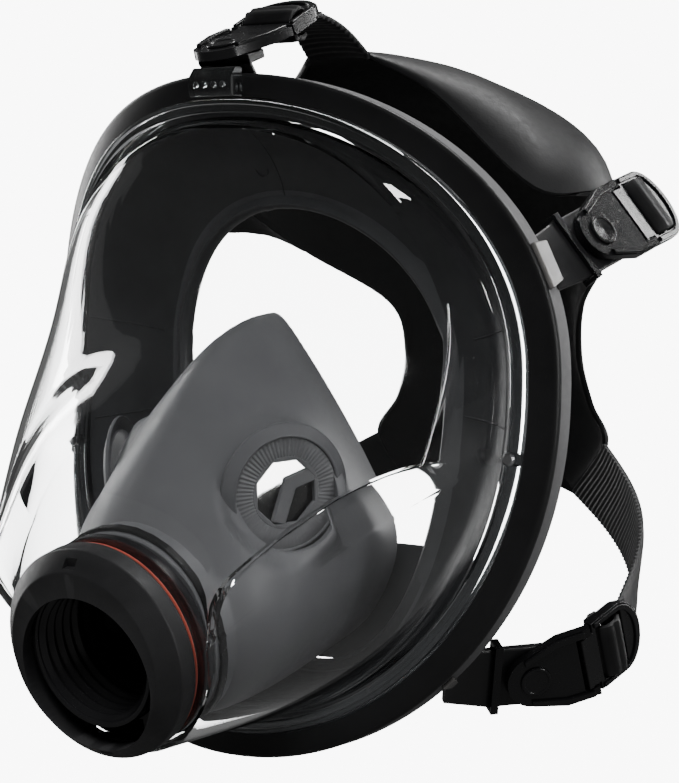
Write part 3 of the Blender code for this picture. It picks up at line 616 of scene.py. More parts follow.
RIM_ANGLES = fine_angles(UPPER_STATIONS, LOWER_STATIONS)
body = loft(
    "face_body",
    [face_section(a) for a in RIM_ANGLES],
    [BAND_RUBBER, LIT_SIDE_RUBBER, WALL_RUBBER, LIP_RUBBER],
    sharp=50.0,
    strip=face_strip,
)
put(body, "mask", "black_rubber", "face_piece")


def chin_point(row, share, back):
    """Point of the chin cup between the lips: row 0 at its top edge to 1, share -1 to 1 across."""
    z = CHIN_TOP + (CHIN_BOTTOM - CHIN_TOP) * row
    cosine = -z / (OPENING_BOTTOM - CHIN_GAP)
    sine = math.sqrt(1 - cosine**2)
    lip = OPENING_BACK_CHIN + (OPENING_BACK_SIDE - OPENING_BACK_CHIN) * sine**2
    hollow = CHIN_HOLLOW * (1 - share**2) * (1 - row)
    return Vector(((OPENING_HALF_WIDTH - CHIN_GAP) * sine * share, lip + hollow + back, z))


def chin_sections():
    shares = span(41, -1.0, 1.0)
    sections = []
    for row in span(25, 0.0, 1.0):
        half = CHIN_WALL / 2 * (0.7 if row == 0.0 else 1.0)
        front = [chin_point(row, s, -half) for s in shares]
        rear = [chin_point(row, s, half) for s in reversed(shares)]
        sections.append(front + rear)
    return sections


chin = loft("chin_sling", chin_sections(), [WALL_RUBBER], cyclic=False, sharp=50.0)
put(chin, "mask", "black_rubber", "chin_cup")


def wall_curve(angle, end):
    """Points on the wall's inner face from its root to a share of the way to the lip."""
    return bend(*inner_wall(angle), WALL_FINE)[: int(end * WALL_FINE) + 1]


def bead(name, path, radius, closed=False):
    """Thin round bead on the sealing wall along a path."""
    curve = bpy.data.curves.new(name, "CURVE")
    curve.dimensions = "3D"
    curve.bevel_depth = radius * MM
    curve.bevel_resolution = 3
    curve.use_fill_caps = True
    mesh = curve_mesh(name, curve, [path], closed, [WALL_RUBBER])
    mesh.shade_smooth()
    put(linked(name, mesh), "mask", "black_rubber")


# Parting line at the brow, then the folds at the sides, as degrees, end share and bead radius.
WALL_BEADS = (
    ("brow_line", 1.0, 1.0, 0.22),
    ("fold_left", 80.0, 0.75, 0.30),
    ("fold_right", -80.0, 0.75, 0.30),
    ("low_fold_left", 97.0, 0.9, 0.30),
    ("low_fold_right", -97.0, 0.9, 0.30),
)
for name, degrees, end, radius in WALL_BEADS:
    bead(name, wall_curve(math.radians(degrees), end), radius)
mark_place = wall_curve(math.radians(-3.5), 1.0)[MARK_STEP]
mark = [Vector((2.3 * math.cos(a), -1.1 * math.sin(a), 2.0 * math.sin(a))) for a in stations(32)]
bead("mould_mark", [mark_place + p for p in mark], 0.18, closed=True)


# ---------------------------------------------------------------- visor, rings and clip


def port_ring(angle, radius, depth):
    """Point on a circle round the port axis, its angle from the top, at a depth behind the cap's front."""
    across = Vector((radius * math.sin(angle), 0.0, 0.0))
    return PORT_FRONT - PORT_AXIS * depth + across + PORT_UP * (radius * math.cos(angle))


def visor_half_width(z):
    height = (RIM_TOP if z > 0 else RIM_BOTTOM) - VISOR_START_INSET
    share = min(abs(z) / height, 0.9999)
    return (RIM_HALF_WIDTH - VISOR_START_INSET) * (1 - share**RIM_SQUARENESS) ** (1 / RIM_SQUARENESS)


HEIGHT_SPREAD = [HEIGHT_STEP * k for k in range(-HEIGHT_REACH, HEIGHT_REACH + 1)]
HEIGHT_WEIGHTS = [1.0 - abs(s) / (HEIGHT_STEP * (HEIGHT_REACH + 1)) for s in HEIGHT_SPREAD]


def at_height(z, values):
    """Value at a height from a row of values at VISOR_HEIGHTS, smoothed so that the visor has no kinks."""
    found = np.interp([z + s for s in HEIGHT_SPREAD], VISOR_HEIGHTS, values)
    return float(np.average(found, weights=HEIGHT_WEIGHTS))


def halved(angle):
    """Angle round the rim mirrored into its left half, and the side it was on."""
    return (angle, 1.0) if angle <= math.pi else (math.tau - angle, -1.0)


def port_angle(angle):
    """Angle round the port that a rim angle (0 to pi) leads to: the crease leads to the port's side."""
    if angle < CREASE_ANGLE:
        return angle / CREASE_ANGLE * math.pi / 2
    return math.pi / 2 + (angle - CREASE_ANGLE) / (math.pi - CREASE_ANGLE) * math.pi / 2


def visor_point(angle, share):
    """Point on the visor's outer face from its edge (share 0) to the port lip (share 1)."""
    bent, side = halved(angle)
    edge = rim_point(bent, VISOR_START_INSET, 2.3)
    lip = port_ring(port_angle(bent), VISOR_LIP_RADIUS, VISOR_LIP_DEPTH)
    x = edge.x + (lip.x - edge.x) * share
    if bent <= CREASE_ANGLE + 1e-6:
        z = edge.z + (lip.z - edge.z) * share**VISOR_FALL
        width = visor_half_width(z)
        sweep = RIM_SIDE_SWEEP * (width / RIM_HALF_WIDTH) ** 2
        power = at_height(z, VISOR_SQUARENESS)
        fill = (1 - min(x / width, 1.0) ** power) ** (1 / power)
        bulged = sweep - at_height(z, VISOR_DEPTHS) * fill
        ease = smooth_step((share - 0.7) / 0.3)
        start = max(0.0, 1.0 - share / 0.12)
        y = bulged * (1 - ease) + lip.y * ease
        y = y * (1 - start) + edge.y * start
    else:
        z = edge.z + (lip.z - edge.z) * share
        y = edge.y + (lip.y - edge.y) * (1 - (1 - share) ** 1.3) ** (1 / 1.3)
    return Vector((side * x, y, z))


def inner_offset(grid, i, j, thickness):
    """Point of the grid moved inwards, square to its surface."""
    rows, columns = len(grid), len(grid[0])
    across = grid[(i + 1) % rows][j] - grid[(i - 1) % rows][j]
    along = grid[i][min(j + 1, columns - 1)] - grid[i][max(j - 1, 0)]
    return grid[i][j] + across.cross(along).normalized() * thickness


def visor_sections():
    shares = [(i / VISOR_STEPS) ** 1.15 for i in range(VISOR_STEPS + 1)]
    grid = [[visor_point(a, s) for s in shares] for a in RIM_ANGLES]
    sections = []
    for i, angle in enumerate(RIM_ANGLES):
        inner = [inner_offset(grid, i, j, VISOR_THICKNESS) for j in range(2, len(shares) - 1)]
        bent, side = halved(angle)
        around = side * port_angle(bent)
        lip = [
            port_ring(around, VISOR_LIP_RADIUS, VISOR_LIP_DEPTH),
            port_ring(around, VISOR_HOLE_RADIUS + 0.4, VISOR_LIP_DEPTH),
            port_ring(around, VISOR_HOLE_RADIUS, VISOR_LIP_DEPTH + 0.4),
            port_ring(around, VISOR_HOLE_RADIUS, VISOR_LIP_DEPTH + VISOR_THICKNESS),
            port_ring(around, VISOR_LIP_RADIUS - 1.4, VISOR_LIP_DEPTH + VISOR_THICKNESS),
        ]
        sections.append(grid[i][:-1] + lip + inner[::-1] + rim_row(angle, VISOR_FLANGE))
    return sections


visor = loft("visor_shell", visor_sections(), [VISOR_CLEAR], sharp=34.0)
put(visor, "mask", "clear_plastic", "visor")


def ring_section(angle):
    """Clear strip on the visor's edge just inside the rubber band, with a step and a ridge."""
    return rounded(rim_row(angle, RING_OUTLINE), 0.28, 2)


upper_ring_end = CREASE_ANGLE - RING_GAP
lower_ring_end = CREASE_ANGLE + RING_GAP
for word, start, end in (
    ("upper", -upper_ring_end, upper_ring_end),
    ("lower", lower_ring_end, math.tau - lower_ring_end),
):
    sections = [ring_section(a) for a in span(RING_STATIONS, start, end)]
    ring = loft(word + "_ring_strip", sections, [RING_CLEAR], cyclic=False, sharp=40.0)
    put(ring, "mask", "clear_plastic", word + "_lens_ring")

clip_outline = [(-5.0, 84.8), (-5.8, 86.0), (-5.8, 90.6), (-3.4, 93.6), (-0.5, 93.6), (-0.5, 84.8)]
clip = loft(
    "top_clip_block",
    [[(x, y, z) for y, z in rounded(clip_outline, 0.5)] for x in (-8.2, 8.2)],
    [RING_CLEAR],
    cyclic=False,
)
put(clip, "mask", "clear_plastic", "top_clip")
for number, x in enumerate((-5.2, -1.8, 1.8, 5.2)):
    place = axes((x, -5.7, 88.3), (1.0, 0.0, 0.0), (0.0, -1.0, 0.0))
    outline = rectangle(0.0, 1.0, 0.0, 1.0)
    post = turned("clip_post_%d" % number, outline, [RING_CLEAR], place, steps=24, fillet=0.2)
    put(post, "mask", "clear_plastic")


# ---------------------------------------------------------------- port

cap_profile = (
    (18.5, 0.0),
    (26.8, 0.0),
    (CAP_RADIUS, -5.2),
    (CAP_RADIUS, -CAP_DEPTH + 0.8),
    (CAP_RADIUS - 0.8, -CAP_DEPTH),
    (22.5, -CAP_DEPTH),
    (22.5, -2.6),
    (18.5, -2.6),
)
cap = turned("cap_ring", cap_profile, [CAP_PLASTIC], fillet=0.5)
opening = slab("cap_opening", [circle(23.8, 128, y=-4.6)], -8.6, 1.0, [], PORT, bevel=0.0)
cut(cap, opening)
cut(cap, box("cap_outlet", (22.0, 7.3, 8.0), PORT @ shift(0.0, -24.1, -11.3)))
for height in (29.2, -30.7):
    cut(cap, box("cap_recess", (4.4, 3.0, 3.4), PORT @ shift(0.0, height, -1.6)))
put(cap, "mask", "black_plastic", "retaining_cap")

thread = []
for k in range(THREAD_TURNS):
    top = THREAD_START - k * THREAD_PITCH
    thread += [(radius, top - THREAD_PITCH * share) for share, radius in THREAD_SHAPE]
body_profile = list(reversed(thread)) + [
    (THREAD_ROOT, -3.9),
    (THREAD_ROOT + 0.5, -3.4),
    (22.0, -3.4),
    (22.0, -29.6),
    (27.6, -29.6),
    (27.6, -13.0),
    (29.2, -13.0),
    (29.2, -16.9),
    (32.0, -17.2),
    (32.0, -20.0),
    (29.2, -20.4),
    (29.2, -32.0),
    (THREAD_ROOT, -32.0),
]
connector = turned("connector_tube", body_profile, [BORE_PLASTIC], fillet=0.15, sharp=40.0)
for k in range(6):
    place = PORT @ turn(math.tau * (k + 0.5) / 6, "Z") @ shift(24.8, 0.0, -31.2)
    cut(connector, box("exhale_slot", (3.4, 9.0, 6.0), place))
put(connector, "mask", "black_plastic", "connector_body")

o_ring_profile = [(30.7 + 1.0 * math.cos(a), -12.9 + 0.42 * math.sin(a)) for a in stations(14)]
o_ring = turned("red_ring", o_ring_profile, [RED_RUBBER], fillet=0)
put(o_ring, "mask", "red_rubber", "red_o_ring")


# ---------------------------------------------------------------- nose cup

# Each row: the cup's face edge and its fullest outer point, every 30 degrees round the port.
CUP_KEYS = (
    ((0.0, 26.0, 18.6), (0.0, -11.0, 3.0)),
    ((10.0, 30.0, 6.0), (14.0, -8.0, -4.0)),
    ((27.0, 37.0, -25.0), (30.0, -7.0, -25.0)),
    ((36.0, 41.0, -50.0), (38.0, -9.0, -52.0)),
    ((30.0, 38.0, -72.0), (36.0, -9.0, -77.0)),
    ((16.0, 35.0, -85.0), (22.0, -9.0, -93.5)),
    ((0.0, 34.0, -89.0), (0.0, -9.0, -97.5)),
)
RECESS_RADIUS = 18.4
RECESS_FADE = 6.0
SEAT_RADIUS = 16.6
SEAT_HOLE = 10.2
BAR_HALF_WIDTH = 2.2
# Raised border round each valve, sloping down to the cup.
BORDER_PROFILE = (
    (16.5, 0.0),
    (20.8, -1.6),
    (20.8, -0.4),
    (17.8, 1.0),
    (17.3, 1.35),
    (16.9, 1.35),
    (16.5, 1.0),
)
SEAT_PROFILE = rectangle(SEAT_HOLE + 0.6, SEAT_RADIUS, -0.9, 0.75)
SEAT_RIM = [circle(SEAT_HOLE + 0.8, 96), circle(SEAT_HOLE, 8)]
SEAT_RIM_TURN = math.radians(12.0)


def cup_key(angle, column):
    """Catmull-Rom value between the rows of CUP_KEYS, mirrored at the top and bottom."""
    rows = [Vector(row[column]) for row in CUP_KEYS]
    mirror = Vector((-1.0, 1.0, 1.0))
    rows = [rows[1] * mirror] + rows + [rows[-2] * mirror]
    place = min(angle / math.radians(30.0), 5.999999)
    i = int(place)
    f = place - i
    return catmull_rom(*rows[i : i + 4], f)


def cup_point(angle, share):
    """Outer face of the cup from its face edge to its base, pressed flat round each valve."""
    bent, side = halved(angle)
    edge, full = cup_key(bent, 0), cup_key(bent, 1)
    base = port_ring(bent, CUP_BASE_RADIUS, CUP_BASE_DEPTH)
    control = 2 * full - (edge + base) / 2
    point = edge * (1 - share) ** 2 + control * (2 * share * (1 - share)) + base * share**2
    away = point - CUP_VALVE_CENTRE
    height = away.dot(CUP_VALVE_NORMAL)
    reach = (away - CUP_VALVE_NORMAL * height).length
    flat = 1.0 - smooth_step((reach - RECESS_RADIUS) / RECESS_FADE)
    point = point + CUP_VALVE_NORMAL * ((0.9 - height) * flat)
    return Vector((side * point.x, point.y, point.z))


def cup_sections():
    grid = [[cup_point(a, j / CUP_STEPS) for j in range(CUP_STEPS + 1)] for a in stations(CUP_STATIONS)]
    sections = []
    for i, angle in enumerate(stations(CUP_STATIONS)):
        inner = [inner_offset(grid, i, j, CUP_WALL) for j in range(CUP_STEPS)]
        base = [
            port_ring(angle, CUP_BASE_RADIUS, 22.4),
            port_ring(angle, CUP_BASE_RADIUS - 0.4, 22.0),
            port_ring(angle, CUP_BASE_INNER, 22.0),
            port_ring(angle, CUP_BASE_INNER, CUP_BASE_DEPTH + 1.6),
        ]
        sections.append(grid[i] + base + list(reversed(inner)))
    return sections


cup = loft("nose_cup_shell", cup_sections(), [CUP_RUBBER], sharp=55.0)


def seat_wave(angle):
    """Fine radial ribs of a valve seat, strongest towards the brow."""
    return 0.09 * math.cos(angle * 72) * (0.55 - 0.45 * math.cos(angle))


def seat_bar(side):
    """Bent bar across the valve hole: one leg to the face side, one down to the chin."""
    corner = Vector((-2.2, 2.0))
    legs = (Vector((-0.087, 0.996)), Vector((0.866, -0.5)))
    ends = (9.2, 12.4)
    across = [Vector((-leg.y, leg.x)) * BAR_HALF_WIDTH for leg in legs]
    tips = [corner + leg * end for leg, end in zip(legs, ends)]
    mitre = (across[0] - across[1]).normalized() * BAR_HALF_WIDTH * 1.13
    outline = [tips[0] + across[0], corner + mitre, tips[1] - across[1]]
    outline += [tips[1] + across[1], corner - mitre, tips[0] - across[0]]
    return [(p.x, p.y * side) for p in outline]


for side, word in ((1.0, "left"), (-1.0, "right")):
    flip = Vector((side, 1.0, 1.0))
    place = axes(CUP_VALVE_CENTRE * flip, (0.0, 0.3, -0.95), CUP_VALVE_NORMAL * flip)
    cut(cup, slab("cup_hole", [circle(SEAT_RADIUS - 0.5, 96)], -8.0, 8.0, [], place, bevel=0.0))
    ribs = turned("seat_ribs_" + word, SEAT_PROFILE, [SEAT_RUBBER], place, steps=576, wave=seat_wave)
    put(ribs, "mask", "grey_rubber")
    rim_place = place @ turn(SEAT_RIM_TURN, "Z")
    inner = slab("seat_rim_" + word, SEAT_RIM, -1.0, 0.8, [SEAT_RUBBER], rim_place)
    put(inner, "mask", "grey_rubber")
    border = turned("seat_border_" + word, BORDER_PROFILE, [CUP_RUBBER], place)
    put(border, "mask", "grey_rubber")
    cross = slab("seat_bar_" + word, [seat_bar(side)], -1.1, 0.7, [SEAT_RUBBER], place, bevel=0.4)
    put(cross, "mask", "grey_rubber", "cup_valve_seat_" + word)
put(cup, "mask", "grey_rubber", "nose_cup")


# ---------------------------------------------------------------- buckles

BUCKLES = {
    "top": ((0.0, 1.5, 97.6), (0.0, 0.95, 0.31), (0.0, -0.31, 0.95), 0.0, -8.0),
    "left_temple": ((93.5, 64.0, 43.0), (0.04, 0.95, 0.295), (0.826, -0.192, 0.507), 0.0, 8.0),
    "left_lower": ((78.0, 53.6, -91.0), (0.62, 0.78, 0.05), (0.71, -0.54, -0.36), 15.0, 30.0),
}
LUG_ROOTS = {
    "top": (0.0, 3.4),
    "left_temple": (math.radians(70.0), 3.4),
    "left_lower": (math.radians(140.0), 3.0),
}
# Degrees round the rim, depth across the band and width of each side lug's shoe.
SHOES = {"left_temple": (70.0, 7.6, 15.0), "left_lower": (139.0, 5.0, 5.0)}


def sided(name):
    """Side of a buckle, -1 on the wearer's right, and the name of its twin on the left."""
    return (-1.0 if name.startswith("right") else 1.0), name.replace("right", "left")


def buckle_frames(name):
    """Frames of a buckle: its lug, its swivelling base and its leaning lock."""
    side, twin = sided(name)
    stud, along, outward, swivel, lean = BUCKLES[twin]
    flip = Vector((side, 1.0, 1.0))
    lug = axes(Vector(stud) * flip, Vector(along) * flip, Vector(outward) * flip)
    base = lug @ turn(math.radians(side * swivel), "Z")
    lock = base @ shift(HINGE_REACH, 0.0, PIN_HEIGHT) @ turn(math.radians(lean), "Y")
    return lug, base, lock


def lug_tab(name, lug):
    """Rubber tab that leads from inside the band to under the buckle's base."""
    side, twin = sided(name)
    angle, inset = LUG_ROOTS[twin]
    root = rim_point(side * angle, inset, 8.9)
    width = lug.to_3x3() @ Vector((0.0, LUG_WIDTH / 2, 0.0))
    up = lug.to_3x3() @ Vector((0.0, 0.0, 1.0))
    back = -1.0 if name == "top" else -13.5
    waist = lug @ Vector((back, 0.0, -LUG_THICKNESS / 2))
    end = lug @ Vector((6.5, 0.0, -LUG_THICKNESS / 2))
    sections = []
    for k in range(9):
        t = k / 8
        stop = root.lerp(waist, min(1.0, t * 2)) if t <= 0.5 else waist.lerp(end, t * 2 - 1)
        half = 1.3 + (LUG_THICKNESS / 2 - 1.3) * min(1.0, t * 2)
        spread = 0.86 + 0.14 * min(1.0, t * 2)
        corners = ((-spread, -half), (spread, -half), (spread, half), (-spread, half))
        sections.append(rounded([stop + width * a + up * b for a, b in corners], 0.7))
    put(loft("lug_tab_" + name, sections, [LUG_RUBBER], cyclic=False), "mask", "black_rubber")


def lug_shoe(name):
    """Bright bevelled shoe on the band where a side lug leaves it."""
    side, twin = sided(name)
    degrees, depth, width = SHOES[twin]
    angle = side * math.radians(degrees)
    spot = rim_point(angle, -0.2, BAND_DEPTH / 2 + 1.4)
    outward = Vector((spot.x, 0.0, spot.z))
    along = rim_point(angle + 0.02) - rim_point(angle - 0.02)
    x, y = width / 2, depth / 2
    outline = [(-x, -y), (x, -y), (x - 1.0, y), (1.0 - x, y)]
    place = axes(spot, along, outward)
    shoe = slab("lug_shoe_" + name, [outline], -0.8, 0.9, [SHOE_RUBBER], place, bevel=0.6)
    put(shoe, "mask", "black_rubber")


for name in NAMES[1:]:
    lug_shoe(name)


BASE_ARC = (2.007, 4.276)
base_front = [(9.0 * math.cos(a), 9.0 * math.sin(a)) for a in span(21, *BASE_ARC)]
BASE_OUTLINE = base_front + [
    (9.0, -LOCK_HALF_WIDTH),
    (19.5, -LOCK_HALF_WIDTH),
    (19.5, -9.5),
    (14.6, -9.5),
    (14.6, 9.5),
    (19.5, 9.5),
    (19.5, LOCK_HALF_WIDTH),
    (9.0, LOCK_HALF_WIDTH),
]
lock_arc = span(31, -math.pi / 2, math.pi / 2)
LOCK_OUTLINE = [(-1.9, 9.1), (-1.9, -9.1), (3.3, -9.1), (3.3, -LOCK_HALF_WIDTH)]
LOCK_OUTLINE += [(15.0 + 9.0 * math.cos(a), LOCK_HALF_WIDTH * math.sin(a)) for a in lock_arc]
LOCK_OUTLINE += [(3.3, LOCK_HALF_WIDTH), (3.3, 9.1)]
LOCK_WINDOWS = [rectangle(5.0, 9.6, -9.6, 9.6), rectangle(11.9, 16.5, -9.6, 9.6)]


STUD_PROFILE = (
    (0.0, 3.7),
    (3.7, 3.7),
    (3.9, 4.0),
    (4.6, 4.0),
    (4.9, 3.7),
    (4.9, 3.25),
    (3.0, 3.25),
    (3.0, 0.3),
    (0.0, 0.3),
)
EDGE_BORDER = [(14.6 + 8.6 * math.cos(a), 11.8 * math.sin(a)) for a in lock_arc]
EDGE_BORDER += [(4.2, 11.8), (4.2, 10.2)]
EDGE_BORDER += [(14.6 + 6.4 * math.cos(a), 10.2 * math.sin(a)) for a in reversed(lock_arc)]
EDGE_BORDER += [(4.2, -10.2), (4.2, -11.8)]


def buckle(name, lug, base, lock):
    """Base plate with two rails, stud, and lock plate with a raised edge."""

    def plate(word, outlines, low, high, place, body, *nodes):
        piece = slab(word + name, outlines, low, high, [BLACK_PLASTIC], place)
        put(piece, body + name, "black_plastic", *[node + name for node in nodes])

    plate("base_plate_", [BASE_OUTLINE, circle(3.4, 48)], 0.4, 3.2, base, "buckle_", "buckle_base_")
    for side, word in ((-1.0, "low_"), (1.0, "high_")):
        rail = [(-2.5, side * 6.4), (8.6, side * 9.6), (17.5, side * 9.9), (17.5, side * 11.9)]
        rail += [(8.2, side * 11.9), (-2.5, side * 8.2)]
        plate("base_rail_" + word, [rail], 3.0, 4.3, base, "buckle_")
    stud = turned("stud_" + name, STUD_PROFILE, [BLACK_PLASTIC], lug, steps=64, fillet=0.2)
    put(stud, "mask", "black_plastic", "swivel_stud_" + name)
    plate("lock_plate_", [LOCK_OUTLINE] + LOCK_WINDOWS, -1.3, 1.3, lock, "lock_", "ladder_lock_")
    plate("lock_edge_", [EDGE_BORDER], -2.6, 2.0, lock, "lock_")


FRAMES = {name: buckle_frames(name) for name in NAMES}
for name in NAMES:
    lug_tab(name, FRAMES[name][0])
    buckle(name, *FRAMES[name])


# ---------------------------------------------------------------- harness

# Rows of the back sheet from the crown down: middle point, then left edge point.
SHEET_ROWS = (
    ((0.0, 60.0, 101.0), (12.0, 60.0, 99.5)),
    ((0.0, 78.0, 101.0), (30.0, 70.0, 88.0)),
    ((0.0, 98.0, 98.0), (66.0, 72.0, 58.0)),
    ((0.0, 120.0, 87.0), (74.0, 99.0, 56.0)),
    ((0.0, 140.0, 62.0), (62.0, 123.0, 38.0)),
    ((0.0, 149.0, 34.0), (40.0, 143.0, 20.0)),
    ((0.0, 151.0, 6.0), (36.0, 148.0, 2.0)),
    ((0.0, 151.0, -12.0), (40.0, 149.0, -14.0)),
    ((0.0, 151.0, -26.0), (47.0, 147.0, -27.0)),
    ((0.0, 151.0, -34.0), (34.0, 148.0, -44.0)),
)
SHEET_FINE = 8
SHEET_COLUMNS = 33
ARM_COLUMNS = 9
RIB_PITCH = 2.2
STRAP_PATH = (
    (20.0, -2.7),
    (16.6, -2.6),
    (14.2, -1.0),
    (14.2, 1.0),
    (12.9, 2.7),
    (8.6, 2.7),
    (7.3, 1.0),
    (7.3, -3.8),
    (8.8, -5.4),
    (13.0, -5.6),
)


def along_rows(rows, place):
    """Smooth value at a fractional place in a list of vectors."""
    i = min(int(place), len(rows) - 2)
    f = place - i
    a = rows[max(i - 1, 0)]
    b, c = rows[i], rows[i + 1]
    d = rows[min(i + 2, len(rows) - 1)]
    return catmull_rom(a, b, c, d, f)


def sheet_point(place, share):
    """Point of the back sheet, share -1 at the right edge and 1 at the left, on a quarter-ellipse arc."""
    middle = along_rows([Vector(r[0]) for r in SHEET_ROWS], place)
    edge = along_rows([Vector(r[1]) for r in SHEET_ROWS], place)
    bent = share * math.pi / 2
    drop = 1 - math.cos(bent)
    y = middle.y + (edge.y - middle.y) * drop
    z = middle.z + (edge.z - middle.z) * drop
    return Vector((edge.x * math.sin(bent), y, z))


def thick_sections(grid, half, ribs=None):
    """Closed sections of a sheet of points, half the thickness to each side, with a rounded edge."""
    sections = []
    last = len(grid[0]) - 1
    for i, row in enumerate(grid):
        upper, lower = [], []
        for j, point in enumerate(row):
            across = row[min(j + 1, last)] - row[max(j - 1, 0)]
            along = grid[min(i + 1, len(grid) - 1)][j] - grid[max(i - 1, 0)][j]
            normal = across.cross(along).normalized()
            extra = ribs(i) if ribs else 0.0
            thin = 0.72 if j in (0, last) else 1.0
            upper.append(point + normal * (half * thin + extra))
            lower.append(point - normal * half * thin)
        side = (row[0] - row[1]).normalized() * half * 0.4
        end = (row[last] - row[last - 1]).normalized() * half * 0.4
        sections.append(upper + [row[last] + end] + list(reversed(lower)) + [row[0] + side])
    return sections


places = span((len(SHEET_ROWS) - 1) * SHEET_FINE + 1, 0.0, len(SHEET_ROWS) - 1.0)
shares = span(SHEET_COLUMNS, -1.0, 1.0)
sheet = loft(
    "harness_sheet",
    thick_sections([[sheet_point(p, s) for s in shares] for p in places], HARNESS_HALF_THICKNESS),
    [HARNESS_RUBBER],
    cyclic=False,
    sharp=50.0,
)
put(sheet, "mask", "harness_rubber", "head_harness")

ARMS = {
    "top": (0.0, 0.0, (0.0, 0.0, 2.0)),
    "left_temple": (2.0, 4.0, (-3.0, 7.0, 0.0)),
    "left_lower": (8.0, 9.0, (7.0, 6.0, 0.0)),
}


def lock_point(lock, reach, height, across=0.0):
    return lock @ Vector((reach, across, height))


def arm_grid(name):
    """Rows of points from the sheet's edge to where the strap enters its lock."""
    side, twin = sided(name)
    first, last, bow = ARMS[twin]
    bow = Vector(bow) * Vector((side, 1.0, 1.0))
    spots = span(ARM_COLUMNS, 0.0, 1.0)
    if name == "top":
        roots = [sheet_point(0.0, 2.0 * s - 1.0) for s in spots]
    else:
        roots = [sheet_point(first + (last - first) * s, side) for s in spots]
    lock = FRAMES[name][2]
    tips = [lock_point(lock, *STRAP_ENTRY, STRAP_HALF_WIDTH * (2.0 * s - 1.0)) for s in spots]
    if (roots[0] - tips[0]).length > (roots[0] - tips[-1]).length:
        tips.reverse()
    length = (roots[len(roots) // 2] - tips[len(tips) // 2]).length
    count = max(12, int(length / (RIB_PITCH / 4)))
    grid = []
    for k in range(count + 1):
        t = k / count
        push = bow * math.sin(math.pi * t)
        narrow = t if name == "top" else 1 - (1 - t) ** 2.2
        grid.append([a.lerp(b, t) + push for a, b in zip(roots, tips)])
        middle = grid[-1][len(spots) // 2].copy()
        width = (grid[-1][-1] - grid[-1][0]).length
        target = (roots[-1] - roots[0]).length * (1 - narrow) + 2 * STRAP_HALF_WIDTH * narrow
        grid[-1] = [middle + (p - middle) * (target / width) for p in grid[-1]]
    return grid


def rib(i):
    """Transverse ribs, one to every four rows."""
    return 0.4 if i % 4 < 2 else 0.0


def webbing(name, grid):
    """Ribbed rubber strap through rows of points."""
    sections = thick_sections(grid, STRAP_HALF_THICKNESS, rib)
    return loft(name, sections, [HARNESS_RUBBER], cyclic=False, sharp=50.0)


for name in NAMES:
    grid = arm_grid(name)
    arm = webbing("arm_" + name, grid)
    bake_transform(arm)


def smooth_path(path, step):
    """Even points along a smooth curve through a flat path."""
    rows = [Vector((x, y)) for x, y in path]
    fine = [along_rows(rows, k / 12) for k in range(12 * (len(rows) - 1) + 1)]
    result, travelled = [fine[0]], 0.0
    for a, b in zip(fine, fine[1:]):
        travelled += (b - a).length
        if travelled >= step:
            result.append(b)
            travelled = 0.0
    return result


for name in NAMES:
    lock = FRAMES[name][2]
    edges = [STRAP_HALF_WIDTH * s for s in span(ARM_COLUMNS, -1.0, 1.0)]
    path = smooth_path((STRAP_ENTRY,) + STRAP_PATH, RIB_PITCH / 4)
    strap = webbing("strap_" + name, [[lock_point(lock, *p, y) for y in edges] for p in path])
    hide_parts("strap_end_" + name)
    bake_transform(strap)


# ---------------------------------------------------------------- carried-over nodes

CARRIED = {
    "connector_seal_washer": LUG_RUBBER,
    "cup_clamp_ring": BLACK_PLASTIC,
    "inhalation_valve_seat": BLACK_PLASTIC,
    "inhalation_valve_disc": SMOKED,
    "exhalation_valve_disc": SMOKED,
    "cup_valve_flap_left": SILICONE,
    "cup_valve_flap_right": SILICONE,
    "lens_ring_screw_left": STEEL,
    "lens_ring_screw_right": STEEL,
}
CARRIED.update({"hinge_pin_" + name: STEEL for name in NAMES})
CARRIED.update({"lug_collar_" + name: BLACK_PLASTIC for name in NAMES if name != "top"})
for node, mat in CARRIED.items():
    NODES[node].data.materials.clear()
    NODES[node].data.materials.append(mat)
    if node.startswith("lug_collar"):
        round_edges(NODES[node], 0.4)


# ---------------------------------------------------------------- stage, lights and camera

FLOOR_Z = -0.1178
TARGET = Vector((0.02884, 0.02105, -0.00439))
CAMERA_BACK = Vector((0.5940, -0.8028, 0.0523)).normalized()
CAMERA_DISTANCE = 0.855
CAMERA_RIGHT = Vector((0.8039, 0.5948, 0.0))
SENSOR = 36.0
FLOOR_BRIGHT = 9.0
FLOOR_DIM = 0.07
WORLD_DIM = 0.05
FOCAL = 149.04


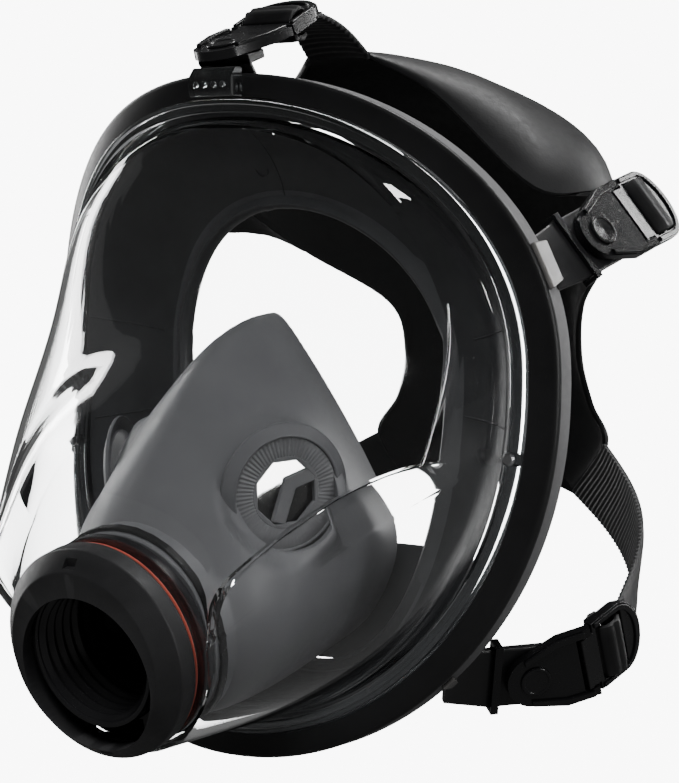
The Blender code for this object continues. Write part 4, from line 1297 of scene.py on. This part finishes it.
def stage_sheet():
    """Floor that curves up into a backdrop far behind the object, square to the camera."""
    away = Vector((-CAMERA_BACK.x, -CAMERA_BACK.y, 0.0)).normalized()
    profile = [(-4.0, 0.0), (1.6, 0.0)]
    curve = span(17, 0.0, math.pi / 2)
    profile += [(1.6 + 0.8 * math.sin(a), 0.8 - 0.8 * math.cos(a)) for a in curve]
    profile.append((2.4, 4.0))
    rows = []
    for reach, height in profile:
        centre = away * reach + Vector((0.0, 0.0, FLOOR_Z + height))
        rows.append([tuple(centre + CAMERA_RIGHT * side) for side in (-4.0, 4.0)])
    points = [p for row in rows for p in row]
    faces = [(2 * i, 2 * i + 1, 2 * i + 3, 2 * i + 2) for i in range(len(rows) - 1)]
    mesh = bpy.data.meshes.new("floor")
    mesh.from_pydata(points, [], faces)
    mesh.shade_smooth()
    obj = linked("floor", mesh)
    g = Graph("floor_paper")
    g.link(g.between(g.noise(9.0), (0.05, 0.05, 0.05), (0.06, 0.06, 0.06)), g.shader.inputs["Base Color"])
    fill(g.shader, Roughness=0.9, Specular_IOR_Level=0.1, Emission_Color=(1.0, 1.0, 1.0, 1.0))
    path = g.node("LightPath")
    reach = g.node("VectorMath")
    reach.operation = "DOT_PRODUCT"
    reach.inputs[1].default_value = tuple(away)
    g.link(g.coordinates, reach.inputs[0])
    behind = g.spread(reach.outputs["Value"], 0.0, 1.0, -0.08, -0.04)
    through = g.math("MULTIPLY", behind, path.outputs["Is Transmission Ray"])
    straight = g.spread(path.outputs["Diffuse Depth"], 1.0, 0.0, 0.0, 1.0)
    mirrored = g.spread(path.outputs["Glossy Depth"], 1.0, 0.012, 0.0, 1.0)
    through = g.math("MULTIPLY", through, g.math("MULTIPLY", straight, mirrored))
    seen = g.math("MAXIMUM", through, path.outputs["Is Camera Ray"])
    g.link(g.spread(seen, FLOOR_DIM, FLOOR_BRIGHT, 0.0, 1.0), g.shader.inputs["Emission Strength"])
    mesh.materials.append(g.mat)


def softbox(name, direction, distance, size, power, glossy=True):
    """Area light aimed at the object. direction is (right, towards the camera, up)."""
    right, back, up = direction
    away = (CAMERA_RIGHT * right + CAMERA_BACK * back + Vector((0.0, 0.0, 1.0)) * up).normalized()
    light = bpy.data.lights.new(name, "AREA")
    light.shape = "RECTANGLE"
    light.size, light.size_y = size
    light.energy = power
    obj = linked(name, light)
    obj.location = TARGET + away * distance
    obj.rotation_euler = away.to_track_quat("Z", "Y").to_euler()
    obj.visible_glossy = glossy
    obj.visible_transmission = glossy


stage_sheet()
world = bpy.data.worlds.new("studio")
world.use_nodes = True
tree = world.node_tree
sky = tree.nodes["Background"]
fill(sky, Color=(1.0, 1.0, 1.0, 1.0))
sky_path = tree.nodes.new("ShaderNodeLightPath")
sky_light = tree.nodes.new("ShaderNodeMapRange")
fill(sky_light, To_Min=WORLD_DIM, To_Max=FLOOR_BRIGHT)
tree.links.new(sky_path.outputs["Is Camera Ray"], sky_light.inputs["Value"])
tree.links.new(sky_light.outputs["Result"], sky.inputs["Strength"])
bpy.context.scene.world = world
softbox("front_fill", (-0.1, 0.8, 1.0), 1.3, (0.8, 0.8), 17.0, glossy=False)
softbox("right_strip", (0.9, -0.5, 0.3), 0.9, (0.05, 0.8), 4.5)
softbox("top_strip", (0.35, -0.3, 1.0), 0.9, (0.8, 0.05), 5.0)
softbox("near_strip", (0.85, 0.5, 0.12), 0.9, (0.025, 0.45), 1.3)
softbox("left_strip", (-0.75, -0.75, 0.15), 0.9, (0.12, 0.9), 4.0)

camera = bpy.data.cameras.new("camera")
camera.lens = FOCAL
camera.sensor_width = SENSOR
camera.sensor_fit = "HORIZONTAL"
camera.clip_start = 0.05
camera.clip_end = 20.0
viewer = linked("camera", camera)
viewer.location = TARGET + CAMERA_BACK * CAMERA_DISTANCE
viewer.rotation_mode = "QUATERNION"
viewer.rotation_quaternion = CAMERA_BACK.to_track_quat("Z", "Y")
bpy.context.scene.camera = viewer

bpy.context.view_layer.update()
